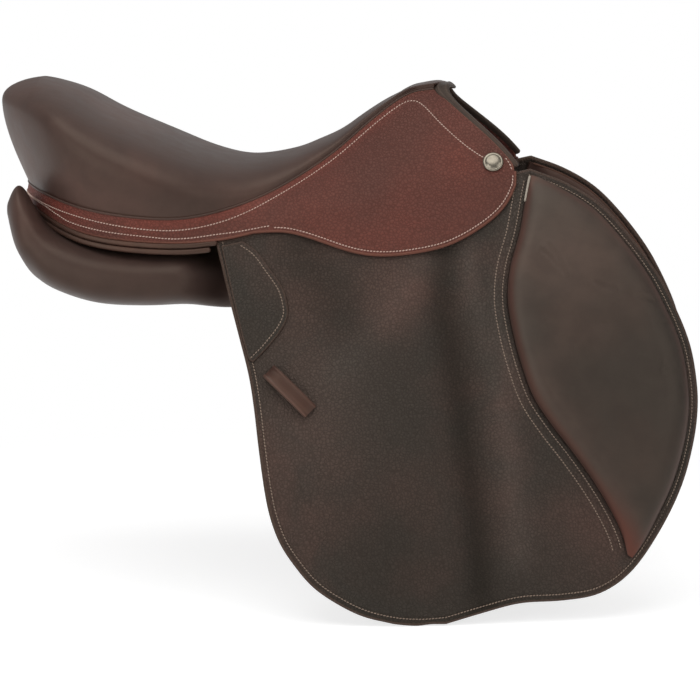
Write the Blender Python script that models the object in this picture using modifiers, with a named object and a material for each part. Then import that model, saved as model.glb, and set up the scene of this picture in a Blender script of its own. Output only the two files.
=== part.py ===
# Close-contact jumping saddle: tree, seat, skirts, flaps, panels, bars and billets.
# Metres, +X towards the pommel, +Y the horse's left side, +Z up.
# X is 0 at the deepest point of the seat, Z is 0 where the panels bear on the back.
import math

import bmesh
import bpy
import numpy as np
from mathutils import Matrix, Vector

mm = 0.001

# Leather and filling, in their real thicknesses
clearance = 0.3 * mm
seat_leather = 2.5 * mm
skived_leather = 1.2 * mm
seat_hem = 3.3 * mm
skirt_leather = 3.5 * mm
flap_leather = 4.5 * mm
tab_leather = 3.5 * mm
sweat_leather = 3.5 * mm
patch_leather = 2.0 * mm
billet_leather = 3.5 * mm
guard_leather = 2.5 * mm
foam_depth = 12.0 * mm
web_canvas = 2.0 * mm
welt_radius = 1.4 * mm
strip_height = 5.2 * mm
strip_depth = 7.0 * mm

# The seat's line along the middle of the saddle
seat_low_z = 131.0 * mm
pommel_z = 201.0 * mm
cantle_z = 206.5 * mm
cantle_reach = 24.0 * mm
cantle_rise = 74.0 * mm
cantle_middle_x = -60.0 * mm
edge_reach = 1.0 * mm
edge_rise = 4.8 * mm

# The straight line on which the skirts and flaps hinge, on the left side
hinge_rear = Vector((-9.0, 131.0, 64.0)) * mm
hinge_front = Vector((254.0, 95.0, 124.0)) * mm

# How the flaps stand away from the horse below the hinge line
flap_drop = 400.0 * mm
flap_splay = 112.0 * mm
splay_power = 1.7
shoulder_wrap = 26.0 * mm
wrap_centre_x = 140.0 * mm
wrap_half_length = 275.0 * mm

# Tree, bars and girthing
rail_width = 20.0 * mm
rail_thickness = 8.0 * mm
head_plate_width = 20.0 * mm
head_plate_thickness = 4.0 * mm
spring_width = 14.0 * mm
spring_thickness = 2.0 * mm
bar_length = 84.0 * mm
bar_height = 11.0 * mm
bar_thickness = 4.5 * mm
bar_inset = 6.0 * mm
bar_slot = 6.5 * mm
bar_above_hinge = 5.0 * mm
bar_centre_x = 176.0 * mm
arm_width = 15.0 * mm
arm_reach = 21.0 * mm
head_plate_reach = 0.9
rail_w = 0.46
spring_t = (0.16, 0.36)
web_t = (0.24, 0.42)
catch_length = 17.0 * mm
catch_thickness = 3.5 * mm
pin_radius = 1.8 * mm
rivet_radius = 3.0 * mm
rivet_height = 1.6 * mm
nail_radius = 9.4 * mm
nail_height = 4.2 * mm
nail_t = 0.042
nail_q = 1.87
billet_width = 25.0 * mm
billet_pitch = 33.0 * mm
billet_length = 305.0 * mm
billet_centre_x = 112.0 * mm
billet_count = 3
billet_run = 1.3 * mm
guard_run = 1.2 * mm
billet_rise = 7.0 * mm
guard_height = 50.0 * mm
guard_below_hinge = 75.0 * mm
keeper_width = 15.0 * mm
keeper_length = 50.0 * mm
keeper_thickness = 3.0 * mm
keeper_rise = 3.4 * mm
keeper_tilt = math.radians(42.0)
keeper_x = 54.0 * mm
keeper_z = -68.0 * mm
knee_pad_thickness = 11.0 * mm
pad_hem = 1.5 * mm
block_thickness = 19.0 * mm
block_hem = 3.0 * mm
lining_leather = 3.0 * mm
facing_width = 10.0 * mm
facing_leather = 3.0 * mm

# Layers inside the outer face of the skirt, each one behind the last
flap_inset = skirt_leather + clearance
tab_inset = bar_inset + bar_thickness + bar_slot + clearance
rail_inset = seat_leather + foam_depth + 2 * clearance + rail_thickness / 2
spring_inset = rail_inset + rail_thickness / 2 + clearance
web_inset = spring_inset + spring_thickness + 4 * clearance
billet_inset = web_inset + web_canvas + clearance
sweat_inset = billet_inset + billet_leather + billet_run + guard_leather + guard_run
panel_inset = sweat_inset + sweat_leather + clearance

# Seams and edges of the left side, front to rear: the welt between seat and skirt,
# and the lower rim of the tree, whose first six points lie on the hinge line.
pommel_top = pommel_z / mm
welt_points = (
    (176, 30, pommel_top - 6.5), (151, 37, pommel_top - 11), (119, 49, pommel_top - 34), (81, 68, 134.5), (35, 96, 106),
    (-9, 120, 89), (-58, 137, 81), (-126, 132, 87), (-176, 97, 99), (-212, 0, 107),
)
rim_x = (254, 221, 176, 122, 59, -9)
rim_points = ((-62, 138, 60), (-134, 128, 66), (-182, 92, 83), (-214, 0, 95))
spine_x = (190, 162, 124, 84, 34, -22, -76, -124, -160, -181)
spine_points = (
    (-195, cantle_z / mm), (-156, 193), (-123, 174), (-74, 152), (-40, 139), (0, seat_low_z / mm),
    (43, 137), (67, 146), (89, 156), (110, 171), (132, pommel_top - 16), (154, pommel_top - 6),
    (168, pommel_top - 1.5), (181, pommel_top), (192, pommel_top - 4),
)

# Outlines in the x-z plane, each as a rear edge and a front edge from top to bottom
flap_rear_edge = (
    (-15, 61), (-1, 12), (8, -18), (18, -52), (24, -82), (29, -115), (35, -151), (41, -176),
    (50, -198), (63, -217), (79, -235), (99, -249), (123, -261), (150, -268),
)
flap_front_edge = (
    (266, 125), (298, 113), (329, 94), (357, 65), (381, 33), (398, 2), (411, -30), (417, -62),
    (418, -88), (414, -118), (404, -154), (386, -191), (361, -227), (333, -246), (300, -251),
    (262, -252), (228, -260), (196, -269),
)
knee_rear_edge = (
    (266, 121), (263, 105), (257, 70), (249, 40), (247, 12), (252, -17), (260, -45), (271, -73),
    (288, -98), (307, -122), (327, -150), (342, -175), (352, -196), (357, -214),
)
knee_front_edge = (
    (273, 119), (296, 108), (325, 90), (352, 61), (375, 30), (391, 0), (404, -31), (410, -63),
    (411, -88), (407, -117), (397, -151), (383, -181), (371, -203), (361, -217),
)
patch_rear_edge = ((-11, 57), (2, 10), (10, -18), (17, -40))
patch_front_edge = ((7, 61), (20, 52), (33, 36), (44, 21), (49, 6), (49, -4), (43, -16), (31, -31), (20, -42))
lobe_drop = (
    (26, 2), (51, 8), (74, 19), (97, 32), (119, 42), (142, 48), (164, 50.5), (186, 51), (204, 48),
    (221, 42), (236, 34), (246, 24), (252, 12),
)
sweat_rear_edge = (
    (8, 34), (14, -20), (24, -75), (33, -125), (44, -170), (62, -205), (90, -230), (125, -246),
)
sweat_front_edge = (
    (268, 86), (303, 86), (337, 71), (366, 46), (388, 14), (400, -18), (402, -55), (396, -102),
    (378, -150), (346, -198), (302, -228), (245, -242), (185, -250),
)
knee_block_rear = ((318, 52), (322, 20), (330, -20), (336, -60), (334, -96))
knee_block_front = ((334, 48), (352, 16), (366, -20), (372, -60), (362, -96))
thigh_block_rear = ((28, -72), (33, -98), (38, -126), (45, -152))
thigh_block_front = ((40, -68), (49, -95), (52, -124), (53, -150))

# Panel sections: x, inner edge (y, z), middle depth of the flank part, lower edge z, half thickness
panel_rear = (
    (-215, 80, 79, 94, 84, 108, 86, 5), (-209, 68, 67, 94, 79, 121, 84, 24),
    (-201, 60, 50, 96, 71, 130, 80, 30), (-192, 53, 39, 95, 56, 135, 73, 26.5),
    (-174, 42, 35, 90, 40, 141, 46, 22.5), (-132, 36, 30, 90, 28, 144, 28, 25),
    (-88, 35, 28, 90, 24, 145, 24, 24.5), (-45, 35, 30, 89, 25, 142, 25, 24),
)
panel_front = (
    (0, 36, 38, 22, 4, 20), (45, 37, 48, 20, -52, 15), (100, 38, 58, 20, -92, 13),
    (165, 40, 68, 22, -110, 12), (225, 46, 76, 24, -92, 11), (262, 56, 80, 26, -40, 9),
    (280, 66, 76, 30, 10, 4),
)
panel_squareness = 3.4


def clearScene():
    for leftover in list(bpy.data.objects):
        bpy.data.objects.remove(leftover, do_unlink=True)


def newCollection(name):
    collection = bpy.data.collections.new(name)
    bpy.context.scene.collection.children.link(collection)
    return collection


def newMaterial(name, color, roughness, metallic=0.0):
    material = bpy.data.materials.new(name)
    material.use_nodes = True
    shader = material.node_tree.nodes["Principled BSDF"]
    shader.inputs["Base Color"].default_value = (*color, 1.0)
    shader.inputs["Roughness"].default_value = roughness
    shader.inputs["Metallic"].default_value = metallic
    material.diffuse_color = (*color, 1.0)
    return material


def mixed(a, b, share):
    return a + (b - a) * share


def smooth(share):
    share = min(max(share, 0.0), 1.0)
    return share * share * (3 - 2 * share)


def hermite(a, b, slope_a, slope_b, f):
    return ((2 * f ** 3 - 3 * f ** 2 + 1) * a + (f ** 3 - 2 * f ** 2 + f) * slope_a
            + (3 * f ** 2 - 2 * f ** 3) * b + (f ** 3 - f ** 2) * slope_b)


def along(points, t, closes=False):
    """Smooth curve through evenly numbered points, t from 0 to 1. One that closes ends on the middle plane."""
    points = np.asarray(points, float)
    last = len(points) - 1
    place = min(max(t, 0.0), 1.0) * last
    i = min(int(place), last - 1)
    a, b = points[i], points[i + 1]
    before = points[i - 1] if i else 2 * a - b
    after = points[i + 2] if i + 2 <= last else 2 * b - a
    if closes and i + 1 == last:
        after = a * np.array((1, -1, 1))
    return hermite(a, b, (b - before) / 2, (after - a) / 2, place - i)


def heightAt(points, x):
    """Smooth height through points sorted by x."""
    xs, zs = np.array(points, float).T
    slopes = np.gradient(zs, xs)
    x = min(max(x, xs[0]), xs[-1])
    i = min(max(int(np.searchsorted(xs, x)) - 1, 0), len(xs) - 2)
    step = xs[i + 1] - xs[i]
    return hermite(zs[i], zs[i + 1], slopes[i] * step, slopes[i + 1] * step, (x - xs[i]) / step)


# The hinge line and the flank surface below it

hinge_run = hinge_front - hinge_rear
hinge_slope_y = hinge_run.y / hinge_run.x
hinge_slope_z = hinge_run.z / hinge_run.x
side_slope = flap_splay * splay_power / flap_drop


def hingeY(x):
    return hinge_rear.y + (x - hinge_rear.x) * hinge_slope_y


def hingeZ(x):
    return hinge_rear.z + (x - hinge_rear.x) * hinge_slope_z


def flankY(x, z):
    """The skirt's outer face continued down: it splays out, and wraps in at the front and rear."""
    drop = (hingeZ(x) - z) / flap_drop
    if drop < 0:
        return hingeY(x) + side_slope * drop * flap_drop
    drop = min(drop, 1.0)
    wrap = shoulder_wrap * ((x - wrap_centre_x) / wrap_half_length) ** 2
    return hingeY(x) + flap_splay * (1 - (1 - drop) ** splay_power) - wrap * min(1.0, drop * 3)


def flankPoint(x, z, inset, side):
    """A point at a depth behind the flank surface, measured square to it."""
    step = 1 * mm
    slope_x = (flankY(x + step, z) - flankY(x - step, z)) / (2 * step)
    slope_z = (flankY(x, z + step) - flankY(x, z - step)) / (2 * step)
    normal = Vector((-slope_x, 1, -slope_z)).normalized()
    point = Vector((x, flankY(x, z), z)) - normal * inset
    return Vector((point.x, point.y * side, point.z))


# The dome over the tree: q runs 0 to 1 over the seat, from the middle to the welt,
# and 1 to 2 over the skirt and cantle band, from the welt to the rim.

hinge_share = 5 / 9
top_share = 0.72
dome_power = 2.3
tuck_power = 1.7
arch_power = 1.75
welt_line = np.array(welt_points) * mm
spine_line = np.array(spine_points) * mm
rim_line = np.array([(x, hingeY(x * mm) / mm, hingeZ(x * mm) / mm) for x in rim_x] + list(rim_points)) * mm
spine_starts = np.array([(x, 0, 0) for x in spine_x]) * mm


def spineZ(x):
    return heightAt(spine_line, x)


def seatPoint(t, q):
    welt = along(welt_line, t, True)
    start = along(spine_starts, t)[0]
    swell = smooth((t - 0.45) / 0.55)
    reach = mixed(edge_reach, cantle_reach, swell)
    rise = mixed(edge_rise, cantle_rise, swell)
    away = np.array((welt[0] - start, welt[1], 0.0))
    away /= np.linalg.norm(away)
    equator = welt + away * reach + np.array((0, 0, rise))
    if q >= top_share:
        down = (q - top_share) / (1 - top_share)
        return Vector(equator - away * reach * down ** tuck_power - np.array((0, 0, rise * down)))
    out = math.sin(math.pi / 2 * q / top_share)
    fall = 1 - (1 - out ** dome_power) ** (1 / dome_power)
    x = mixed(start, equator[0], out)
    return Vector((x, equator[1] * out, spineZ(x) + (equator[2] - spineZ(equator[0])) * fall))


def skirtPoint(t, v):
    """Quadratic curve from the welt to the rim, leaving the rim along the flank surface."""
    welt, rim = along(welt_line, t, True), along(rim_line, t, True)
    if t < hinge_share:
        rim = np.array((rim[0], hingeY(rim[0]), hingeZ(rim[0])))
    run = welt - rim
    middle = rim + run / 2
    bulged = rim + 0.5 * np.array((run[0], (hinge_slope_y + side_slope * hinge_slope_z) * run[0]
                                   - side_slope * run[2], run[2]))
    control = mixed(bulged, middle, smooth((t - 0.5) / 0.15))
    return Vector(welt * (1 - v) ** 2 + control * 2 * v * (1 - v) + rim * v ** 2)


def domePoint(t, q, inset=0.0, side=1):
    """A point of the dome at a depth behind its outer face, measured square to it."""
    step = 0.002
    low, high = (0.0, 1.0) if q <= 1 else (1.0, 2.0)
    surface = seatPoint if q <= 1 else (lambda a, b: skirtPoint(a, b - 1))
    point = surface(t, q)
    if inset:
        q0, q1 = max(q - step, low), min(q + step, high)
        t0, t1 = max(t - step, 0.0), min(t + step, 1.0)
        normal = (surface(t, q1) - surface(t, q0)).cross(surface(t1, q) - surface(t0, q))
        if t >= 1:
            normal.y = 0
        if q <= 0:
            normal.y = 0
        normal.normalize()
        if normal.dot(point - Vector((point.x * 0.8, 0, 0.05))) < 0:
            normal.negate()
        point = point - normal * inset
    return Vector((point.x, point.y * side, point.z))


def archPoint(t, w, inset=0.0, side=1):
    """The tree's own arch, from the middle line (w 0) to the rim (w 1), without the seat's edge."""
    def outer(t, w):
        start, rim = along(spine_starts, t)[0], along(rim_line, t, True)
        out = math.sin(math.pi / 2 * min(w, 1.0))
        rise = (1 - out ** arch_power) ** (1 / arch_power)
        x = mixed(rim[0], start, rise)
        return Vector((x, rim[1] * out, mixed(rim[2], spineZ(start), rise)))

    point = outer(t, w)
    step = 0.004
    normal = (outer(t, min(w + step, 1.0)) - outer(t, w - step if w > step else 0.0)).cross(
        outer(t + step, w) - outer(t - step if t > step else 0.0, w))
    if w <= 0:
        normal.y = 0
    normal.normalize()
    if normal.dot(point - Vector((point.x * 0.8, 0, 0.05))) < 0:
        normal.negate()
    point = point - normal * inset
    return Vector((point.x, point.y * side, point.z))


def archNormal(t, w, side=1):
    return (archPoint(t, w, 0, side) - archPoint(t, w, 1 * mm, side)).normalized()


def domeNormal(t, q, side=1):
    return (domePoint(t, q, 0, side) - domePoint(t, q, 1 * mm, side)).normalized()


# Mesh builders

def finish(name, bm, material):
    mesh = bpy.data.meshes.new(name)
    bm.to_mesh(mesh)
    bm.free()
    mesh.materials.append(material)
    mesh.shade_smooth()
    mesh.set_sharp_from_angle(angle=math.radians(40))
    part = bpy.data.objects.new(name, mesh)
    parts.objects.link(part)
    return part


def faceOutwards(bm):
    bmesh.ops.recalc_face_normals(bm, faces=bm.faces[:])
    if bm.calc_volume(signed=True) < 0:
        bmesh.ops.reverse_faces(bm, faces=bm.faces[:])


def unitGrid(columns, rows):
    bm = bmesh.new()
    bmesh.ops.create_grid(bm, x_segments=columns, y_segments=rows, size=0.5)
    return bm


def slab(name, columns, rows, place, material):
    """A sheet or pad between two faces: place(u, v, k) with k 0 on one face and 1 on the other."""
    bm = unitGrid(columns, rows)
    bmesh.ops.solidify(bm, geom=bm.faces[:], thickness=1.0)
    for vertex in bm.verts:
        vertex.co = place(vertex.co.x + 0.5, vertex.co.y + 0.5, min(1.0, abs(vertex.co.z)))
    faceOutwards(bm)
    return finish(name, bm, material)


def domeShell(name, columns, rows, t_range, q_limit, depths, material):
    """A shell over both sides of the dome, closed round the cantle, with its rim bridged."""
    bm = bmesh.new()
    for face in (0, 1):
        layer = unitGrid(columns, rows)
        for vertex in layer.verts:
            across = 2 * vertex.co.x
            t = mixed(*t_range, vertex.co.y + 0.5)
            q = abs(across) * q_limit(t)
            vertex.co = domePoint(t, q, depths(t, q)[face], 1 if across > 0 else -1)
        bmesh.ops.remove_doubles(layer, verts=layer.verts[:], dist=0.05 * mm)
        sheet = bpy.data.meshes.new(name)
        layer.to_mesh(sheet)
        layer.free()
        bm.from_mesh(sheet)
        bpy.data.meshes.remove(sheet)
    bmesh.ops.bridge_loops(bm, edges=[edge for edge in bm.edges if edge.is_boundary])
    faceOutwards(bm)
    return finish(name, bm, material)


def sweep(name, frames, width, thickness, material, closed=False):
    """A strap or rail: frames are (centre, width direction, thickness direction), its edges eased."""
    ease = 0.28 * min(width, thickness)
    w, h = width / 2, thickness / 2
    section = [(w - ease, h), (w, h - ease), (w, ease - h), (w - ease, -h),
               (ease - w, -h), (-w, ease - h), (-w, h - ease), (ease - w, h)]
    bm = bmesh.new()
    rings = [[bm.verts.new(c + a * s + b * n) for a, b in section] for c, s, n in frames]
    pairs = list(zip(rings, rings[1:] + rings[:1])) if closed else list(zip(rings, rings[1:]))
    for ring, following in pairs:
        for i in range(len(section)):
            j = (i + 1) % len(section)
            bm.faces.new((ring[i], ring[j], following[j], following[i]))
    if not closed:
        bm.faces.new(rings[0])
        bm.faces.new(rings[-1])
    faceOutwards(bm)
    return finish(name, bm, material)


def framesAlong(points, normals, closed=False):
    """Sweep frames on a path with a thickness direction at each point."""
    frames = []
    count = len(points)
    for i, (point, normal) in enumerate(zip(points, normals)):
        ahead = points[(i + 1) % count] if closed or i + 1 < count else point
        behind = points[i - 1] if closed or i else point
        tangent = (ahead - behind).normalized()
        across = tangent.cross(normal).normalized()
        frames.append((point, across, across.cross(tangent).normalized()))
    return frames


def loft(name, rings, material):
    bm = bmesh.new()
    loops = [[bm.verts.new(point) for point in ring] for ring in rings]
    count = len(loops[0])
    for loop, following in zip(loops, loops[1:]):
        for i in range(count):
            j = (i + 1) % count
            bm.faces.new((loop[i], loop[j], following[j], following[i]))
    bm.faces.new(loops[0])
    bm.faces.new(loops[-1])
    faceOutwards(bm)
    return finish(name, bm, material)


def prism(name, frame, outline, low, high, material):
    """A flat outline in the frame's x-y plane, from low to high along its z."""
    bm = bmesh.new()
    bm.faces.new([bm.verts.new((a, b, 0)) for a, b in outline])
    bm.normal_update()
    bmesh.ops.solidify(bm, geom=bm.faces[:], thickness=1.0)
    for vertex in bm.verts:
        vertex.co.z = mixed(low, high, min(1.0, abs(vertex.co.z)))
    faceOutwards(bm)
    part = finish(name, bm, material)
    part.matrix_world = frame
    return part


def box(name, frame, corner_a, corner_b, material, ease=0.0):
    bm = bmesh.new()
    bmesh.ops.create_cube(bm, size=1)
    low, high = Vector(corner_a), Vector(corner_b)
    for vertex in bm.verts:
        vertex.co = Vector([mixed(low[i], high[i], vertex.co[i] + 0.5) for i in range(3)])
    faceOutwards(bm)
    part = finish(name, bm, material)
    part.matrix_world = frame
    if ease:
        bevel = part.modifiers.new("Eased edges", "BEVEL")
        bevel.width = ease
        bevel.segments = 1
    return part


def rod(name, frame, radius, low, high, material, sides=16):
    """A cylinder along the frame's y."""
    bm = bmesh.new()
    bmesh.ops.create_cone(bm, cap_ends=True, segments=sides, radius1=radius, radius2=radius, depth=1)
    for vertex in bm.verts:
        x, z, y = vertex.co
        vertex.co = (x, mixed(low, high, y + 0.5), z)
    faceOutwards(bm)
    part = finish(name, bm, material)
    part.matrix_world = frame
    return part


def cut(part, cutter):
    cutters.objects.link(cutter)
    parts.objects.unlink(cutter)
    cutter.hide_render = True
    cutter.display_type = "WIRE"
    taken = part.modifiers.new("Cut", "BOOLEAN")
    taken.operation = "DIFFERENCE"
    taken.solver = "EXACT"
    taken.object = cutter


def turned(name, profile, place, normal, material, steps=16):
    """A round head turned from a profile, its flat back at a point and its crown along a normal."""
    mesh = bpy.data.meshes.new(name)
    mesh.from_pydata([(x, 0, z) for x, z in profile], [(i, i + 1) for i in range(len(profile) - 1)], [])
    mesh.materials.append(material)
    part = bpy.data.objects.new(name, mesh)
    parts.objects.link(part)
    lathe = part.modifiers.new("Turned", "SCREW")
    lathe.steps = lathe.render_steps = steps
    lathe.use_merge_vertices = True
    lathe.merge_threshold = 0.01 * mm
    lathe.use_smooth_shade = True
    part.location = place
    part.rotation_mode = "QUATERNION"
    part.rotation_quaternion = normal.to_track_quat("Z", "Y")
    return part


def domedProfile(radius, height, points=5):
    """A low crown with an upright rim, run down its outer side."""
    rim = 0.3 * height
    arc = [(radius * math.sin(a), rim + (height - rim) * math.cos(a)) for a in
           [math.pi / 2 * i / points for i in range(points + 1)]]
    return [(0, height)] + arc[1:] + [(radius, 0), (0, 0)]


def tube(name, points, radius, material):
    curve = bpy.data.curves.new(name, "CURVE")
    curve.dimensions = "3D"
    curve.bevel_depth = radius
    curve.bevel_resolution = 1
    curve.use_fill_caps = True
    spline = curve.splines.new("POLY")
    spline.points.add(len(points) - 1)
    for knot, point in zip(spline.points, points):
        knot.co = (*point, 1)
    curve.materials.append(material)
    part = bpy.data.objects.new(name, curve)
    parts.objects.link(part)
    return part


def scaled(points):
    return [tuple(value * mm for value in point) for point in points]


def ruled(rear, front, u, v):
    """A point of a sheet's outline: v down its two edges, u from the rear edge to the front one."""
    a, b = along(rear, v), along(front, v)
    return mixed(a, b, u)


def flankSheet(name, rear, front, columns, rows, inset, thickness, side, material, crown=None):
    """A sheet or pad on the flank. Its inner face lies at inset + thickness, a crown pads its outer face."""
    rear, front = scaled(rear), scaled(front)

    def place(u, v, k):
        x, z = ruled(rear, front, u, v)
        depth = inset + thickness * k - (crown(u, v) if crown and k == 0 else 0)
        return flankPoint(x, z, depth, side)

    return slab(name, columns, rows, place, material)


def plump(u, v):
    """1 over most of a pad, falling to 0 at its edges."""
    return (1 - abs(2 * u - 1) ** 3) * (1 - abs(2 * v - 1) ** 5)


# Placing

def turnsAbout(part, point):
    """Puts a moving piece's own origin on its joint's axis."""
    part.data.transform(Matrix.Translation(-Vector(point)))
    part.location = point


def hingeMiddle(side):
    middle = (hinge_rear + hinge_front) / 2
    return Vector((middle.x, middle.y * side, middle.z))


def mirroredPath(half):
    """A path through both sides: half lists (point, direction) from the middle line outwards."""
    flip = Matrix.Scale(-1, 3, (0, 1, 0))
    return [(flip @ p, flip @ n) for p, n in reversed(half[1:])] + half


# The sub-parts

def makeTree(wood, steel, canvas):
    """Laminated tree rail in one loop, steel head plate under its arch, and spring strips under its rails."""
    def railSpot(t, w):
        front = archPoint(t, w, rail_inset + 0.2 * mm), archNormal(t, w)
        level = domePoint(t, 1.5, skirt_leather + 0.5 * mm + rail_width / 2)
        share = smooth((t - 0.36) / 0.2)
        return front[0].lerp(level, share), front[1].lerp(Vector((0, 0, 1)), share).normalized()

    crossing = [railSpot(0.05, w) for w in (0.0, 0.16, 0.32)]
    half = crossing + [railSpot(mixed(0.07, 1.0, i / 19), rail_w) for i in range(20)]
    flip = Matrix.Scale(-1, 3, (0, 1, 0))
    loop = half + [(flip @ p, flip @ n) for p, n in reversed(half[1:-1])]
    sweep("tree_frame", framesAlong([p for p, n in loop], [n for p, n in loop], True), rail_width,
          rail_thickness, wood, True)

    plate_inset = rail_inset + rail_thickness / 2 + 5 * clearance + head_plate_thickness / 2
    half = [(archPoint(0.05, w, plate_inset), archNormal(0.05, w)) for w in
            [mixed(0.0, head_plate_reach, i / 9) for i in range(10)]]
    arch = mirroredPath(half)
    sweep("head_plate", framesAlong([p for p, n in arch], [n for p, n in arch]), head_plate_width,
          head_plate_thickness, steel)

    for side, letter in sides:
        def spring(u, v, k):
            t = mixed(*spring_t, v)
            span = (archPoint(t, rail_w + 0.04) - archPoint(t, rail_w - 0.04)).length / 0.08
            w = rail_w + spring_width / span * (u - 0.5)
            return archPoint(t, w, spring_inset + clearance + spring_thickness * k, side)

        slab("tree_spring_" + letter, 4, 12, spring, steel)

    def place(u, v, k):
        w = mixed(-0.995, 0.995, u)
        return archPoint(mixed(*web_t, v), abs(w), web_inset + web_canvas * k, 1 if w >= 0 else -1)

    slab("girth_web", 36, 6, place, canvas)


def makeSeat(calf, foam, piping):
    """Seat leather over foam, with the piping that closes its seam."""
    def edge(t):
        return 1 - seat_hem / mixed(edge_rise, cantle_rise, smooth((t - 0.45) / 0.55)) * (1 - top_share)

    def coverDepths(t, q):
        skived = smooth((q - 0.6) / 0.15) * (1 - smooth((t - 0.3) / 0.2))
        return 0.0, mixed(seat_leather, skived_leather, skived)

    def foamEdge(t):
        return mixed(0.5, 0.9 * edge(t), smooth((t - 0.35) / 0.25))

    def foamDepths(t, q):
        thin = smooth((q - 0.35) / 0.2) * (1 - smooth((t - 0.4) / 0.25))
        full = smooth(min(1 - thin, (t - 0.02) / 0.16))
        return seat_leather + 2 * clearance, seat_leather + 2 * clearance + mixed(1.5 * mm, foam_depth, full)

    rows = 20
    domeShell("seat_cover", rows, rows, (0.0, 1.0), edge, coverDepths, calf)
    domeShell("seat_foam", rows - 2, rows - 1, (1 / rows, 1.0), foamEdge, foamDepths, foam)
    half = [domePoint(i / rows, 1.0) for i in range(rows + 1)]
    tube("seat_welt", half + [Vector((p.x, -p.y, p.z)) for p in reversed(half[:-1])], welt_radius, piping)


def skirtStart(t):
    """Where the skirt's top edge lies, clear of the piping."""
    gap = welt_radius + 0.4 * mm
    return gap / (domePoint(t, 2.0) - domePoint(t, 1.0)).length


def makeSkirts(grain, nickel):
    """Fixed skirts, their moving lobes, the cantle band, the nail heads and the pommel facing."""
    seam = 0.6 * mm / hinge_run.length * hinge_share
    for side, letter in sides:
        def yoke(u, v, k):
            t = mixed(0.0, hinge_share - seam, u)
            q = 1 + mixed(skirtStart(t), 1 - 0.004, v)
            return domePoint(t, q, skirt_leather * k, side)

        slab("skirt_yoke_" + letter, 18, 6, yoke, grain)

        lobe_line = scaled(lobe_drop)

        def lobe(u, v, k):
            x, depth = along(lobe_line, u)
            drop = mixed(clearance, depth, v)
            return flankPoint(x, hingeZ(x) - drop, skirt_leather * k, side)

        turnsAbout(slab("skirt_lobe_" + letter, 16, 3, lobe, grain), hingeMiddle(side))

        turned("nail_head_" + letter, domedProfile(nail_radius, nail_height),
               domePoint(nail_t, nail_q, -clearance, side), domeNormal(nail_t, nail_q, side), nickel)

        def tab(u, v, k):
            t, q = mixed(0.2, hinge_share - 0.03, u), mixed(1.6, 1.97, v)
            return domePoint(t, q, tab_inset + tab_leather * k, side)

        slab("flap_tab_" + letter, 10, 4, tab, grain)

    def band(u, v, k):
        t = 1 - abs(2 * u - 1) * (1 - hinge_share - seam)
        return domePoint(t, 1 + mixed(skirtStart(t), 0.97, v), skirt_leather * k, 1 if u > 0.5 else -1)

    slab("cantle_band", 32, 2, band, grain)

    for order, name in enumerate(("rear_strip_upper", "rear_strip_lower")):
        drop = 3 * clearance + strip_height / 2 + order * (strip_height + clearance)
        half = []
        for i in range(13):
            t = mixed(1.0, hinge_share + 0.012 + 0.012 * order, i / 12)
            half.append((domePoint(t, 2.0), t))
        points = [Vector((p.x, -p.y, p.z - drop)) for p, t in reversed(half[1:])]
        points += [Vector((p.x, p.y, p.z - drop)) for p, t in half]
        outs = [Vector((p.x - cantle_middle_x, p.y, 0)).normalized() for p in points]
        points = [p - out * strip_depth / 2 for p, out in zip(points, outs)]
        frames = [(p, Vector((0, 0, 1)), n) for (p, s, n) in framesAlong(points, outs)]
        sweep(name, frames, strip_height, strip_depth, grain)

    ahead = clearance + 0.9 * mm + facing_width / 2
    half = []
    for q in (0.0, 0.2, 0.4, 0.55, 1.06, 1.2, 1.35, 1.5, 1.65, 1.8, 1.93):
        front, behind = domePoint(0.0, q), domePoint(0.02, q)
        half.append((front, (front - behind).normalized()))
    half[0][1].y = 0
    frames, path = [], mirroredPath(half)
    for i, (point, forward) in enumerate(path):
        run = path[min(i + 1, len(path) - 1)][0] - path[max(i - 1, 0)][0]
        normal = run.cross(forward).normalized()
        if normal.z < 0:
            normal.negate()
        frames.append((point + forward * ahead - normal * facing_leather / 2, forward, normal))
    sweep("pommel_facing", frames, facing_width, facing_leather, grain)


def makeFlaps(grain, calf):
    """Flaps, knee pads, rear patches, keepers, sweat flaps and the blocks between them."""
    for side, letter in sides:
        flap = flankSheet("flap_" + letter, flap_rear_edge, flap_front_edge, 12, 16, flap_inset, flap_leather,
                          side, grain)
        pad = flankSheet("knee_pad_" + letter, knee_rear_edge, knee_front_edge, 6, 12,
                         flap_inset - 2 * clearance - pad_hem, pad_hem, side, calf,
                         lambda u, v: knee_pad_thickness * plump(u, v))
        patch = flankSheet("flap_patch_" + letter, patch_rear_edge, patch_front_edge, 3, 8,
                           flap_inset - clearance - patch_leather, patch_leather, side, grain)
        flankSheet("sweat_flap_" + letter, sweat_rear_edge, sweat_front_edge, 10, 11, sweat_inset, sweat_leather,
                   side, calf)
        for name, rear, front in (("knee_block_", knee_block_rear, knee_block_front),
                                  ("thigh_block_", thigh_block_rear, thigh_block_front)):
            flankSheet(name + letter, rear, front, 4, 5, sweat_inset - clearance - block_hem, block_hem, side,
                       calf, lambda u, v: (block_thickness - block_hem) * plump(u, v))

        heading = (math.cos(keeper_tilt), -math.sin(keeper_tilt))
        points, normals = [], []
        for i in range(11):
            s = mixed(-0.5, 0.5, i / 10)
            x = keeper_x + heading[0] * s * keeper_length
            z = keeper_z + heading[1] * s * keeper_length
            rise = keeper_thickness / 2 + clearance + 0.3 * mm + keeper_rise * (1 - abs(2 * s) ** 4)
            points.append(flankPoint(x, z, flap_inset - rise, side))
            normals.append((flankPoint(x, z, 0, side) - flankPoint(x, z, 1 * mm, side)).normalized())
        keeper = sweep("keeper_" + letter, framesAlong(points, normals), keeper_width, keeper_thickness, grain)
        for part in (flap, pad, patch, keeper):
            turnsAbout(part, hingeMiddle(side))


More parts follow.
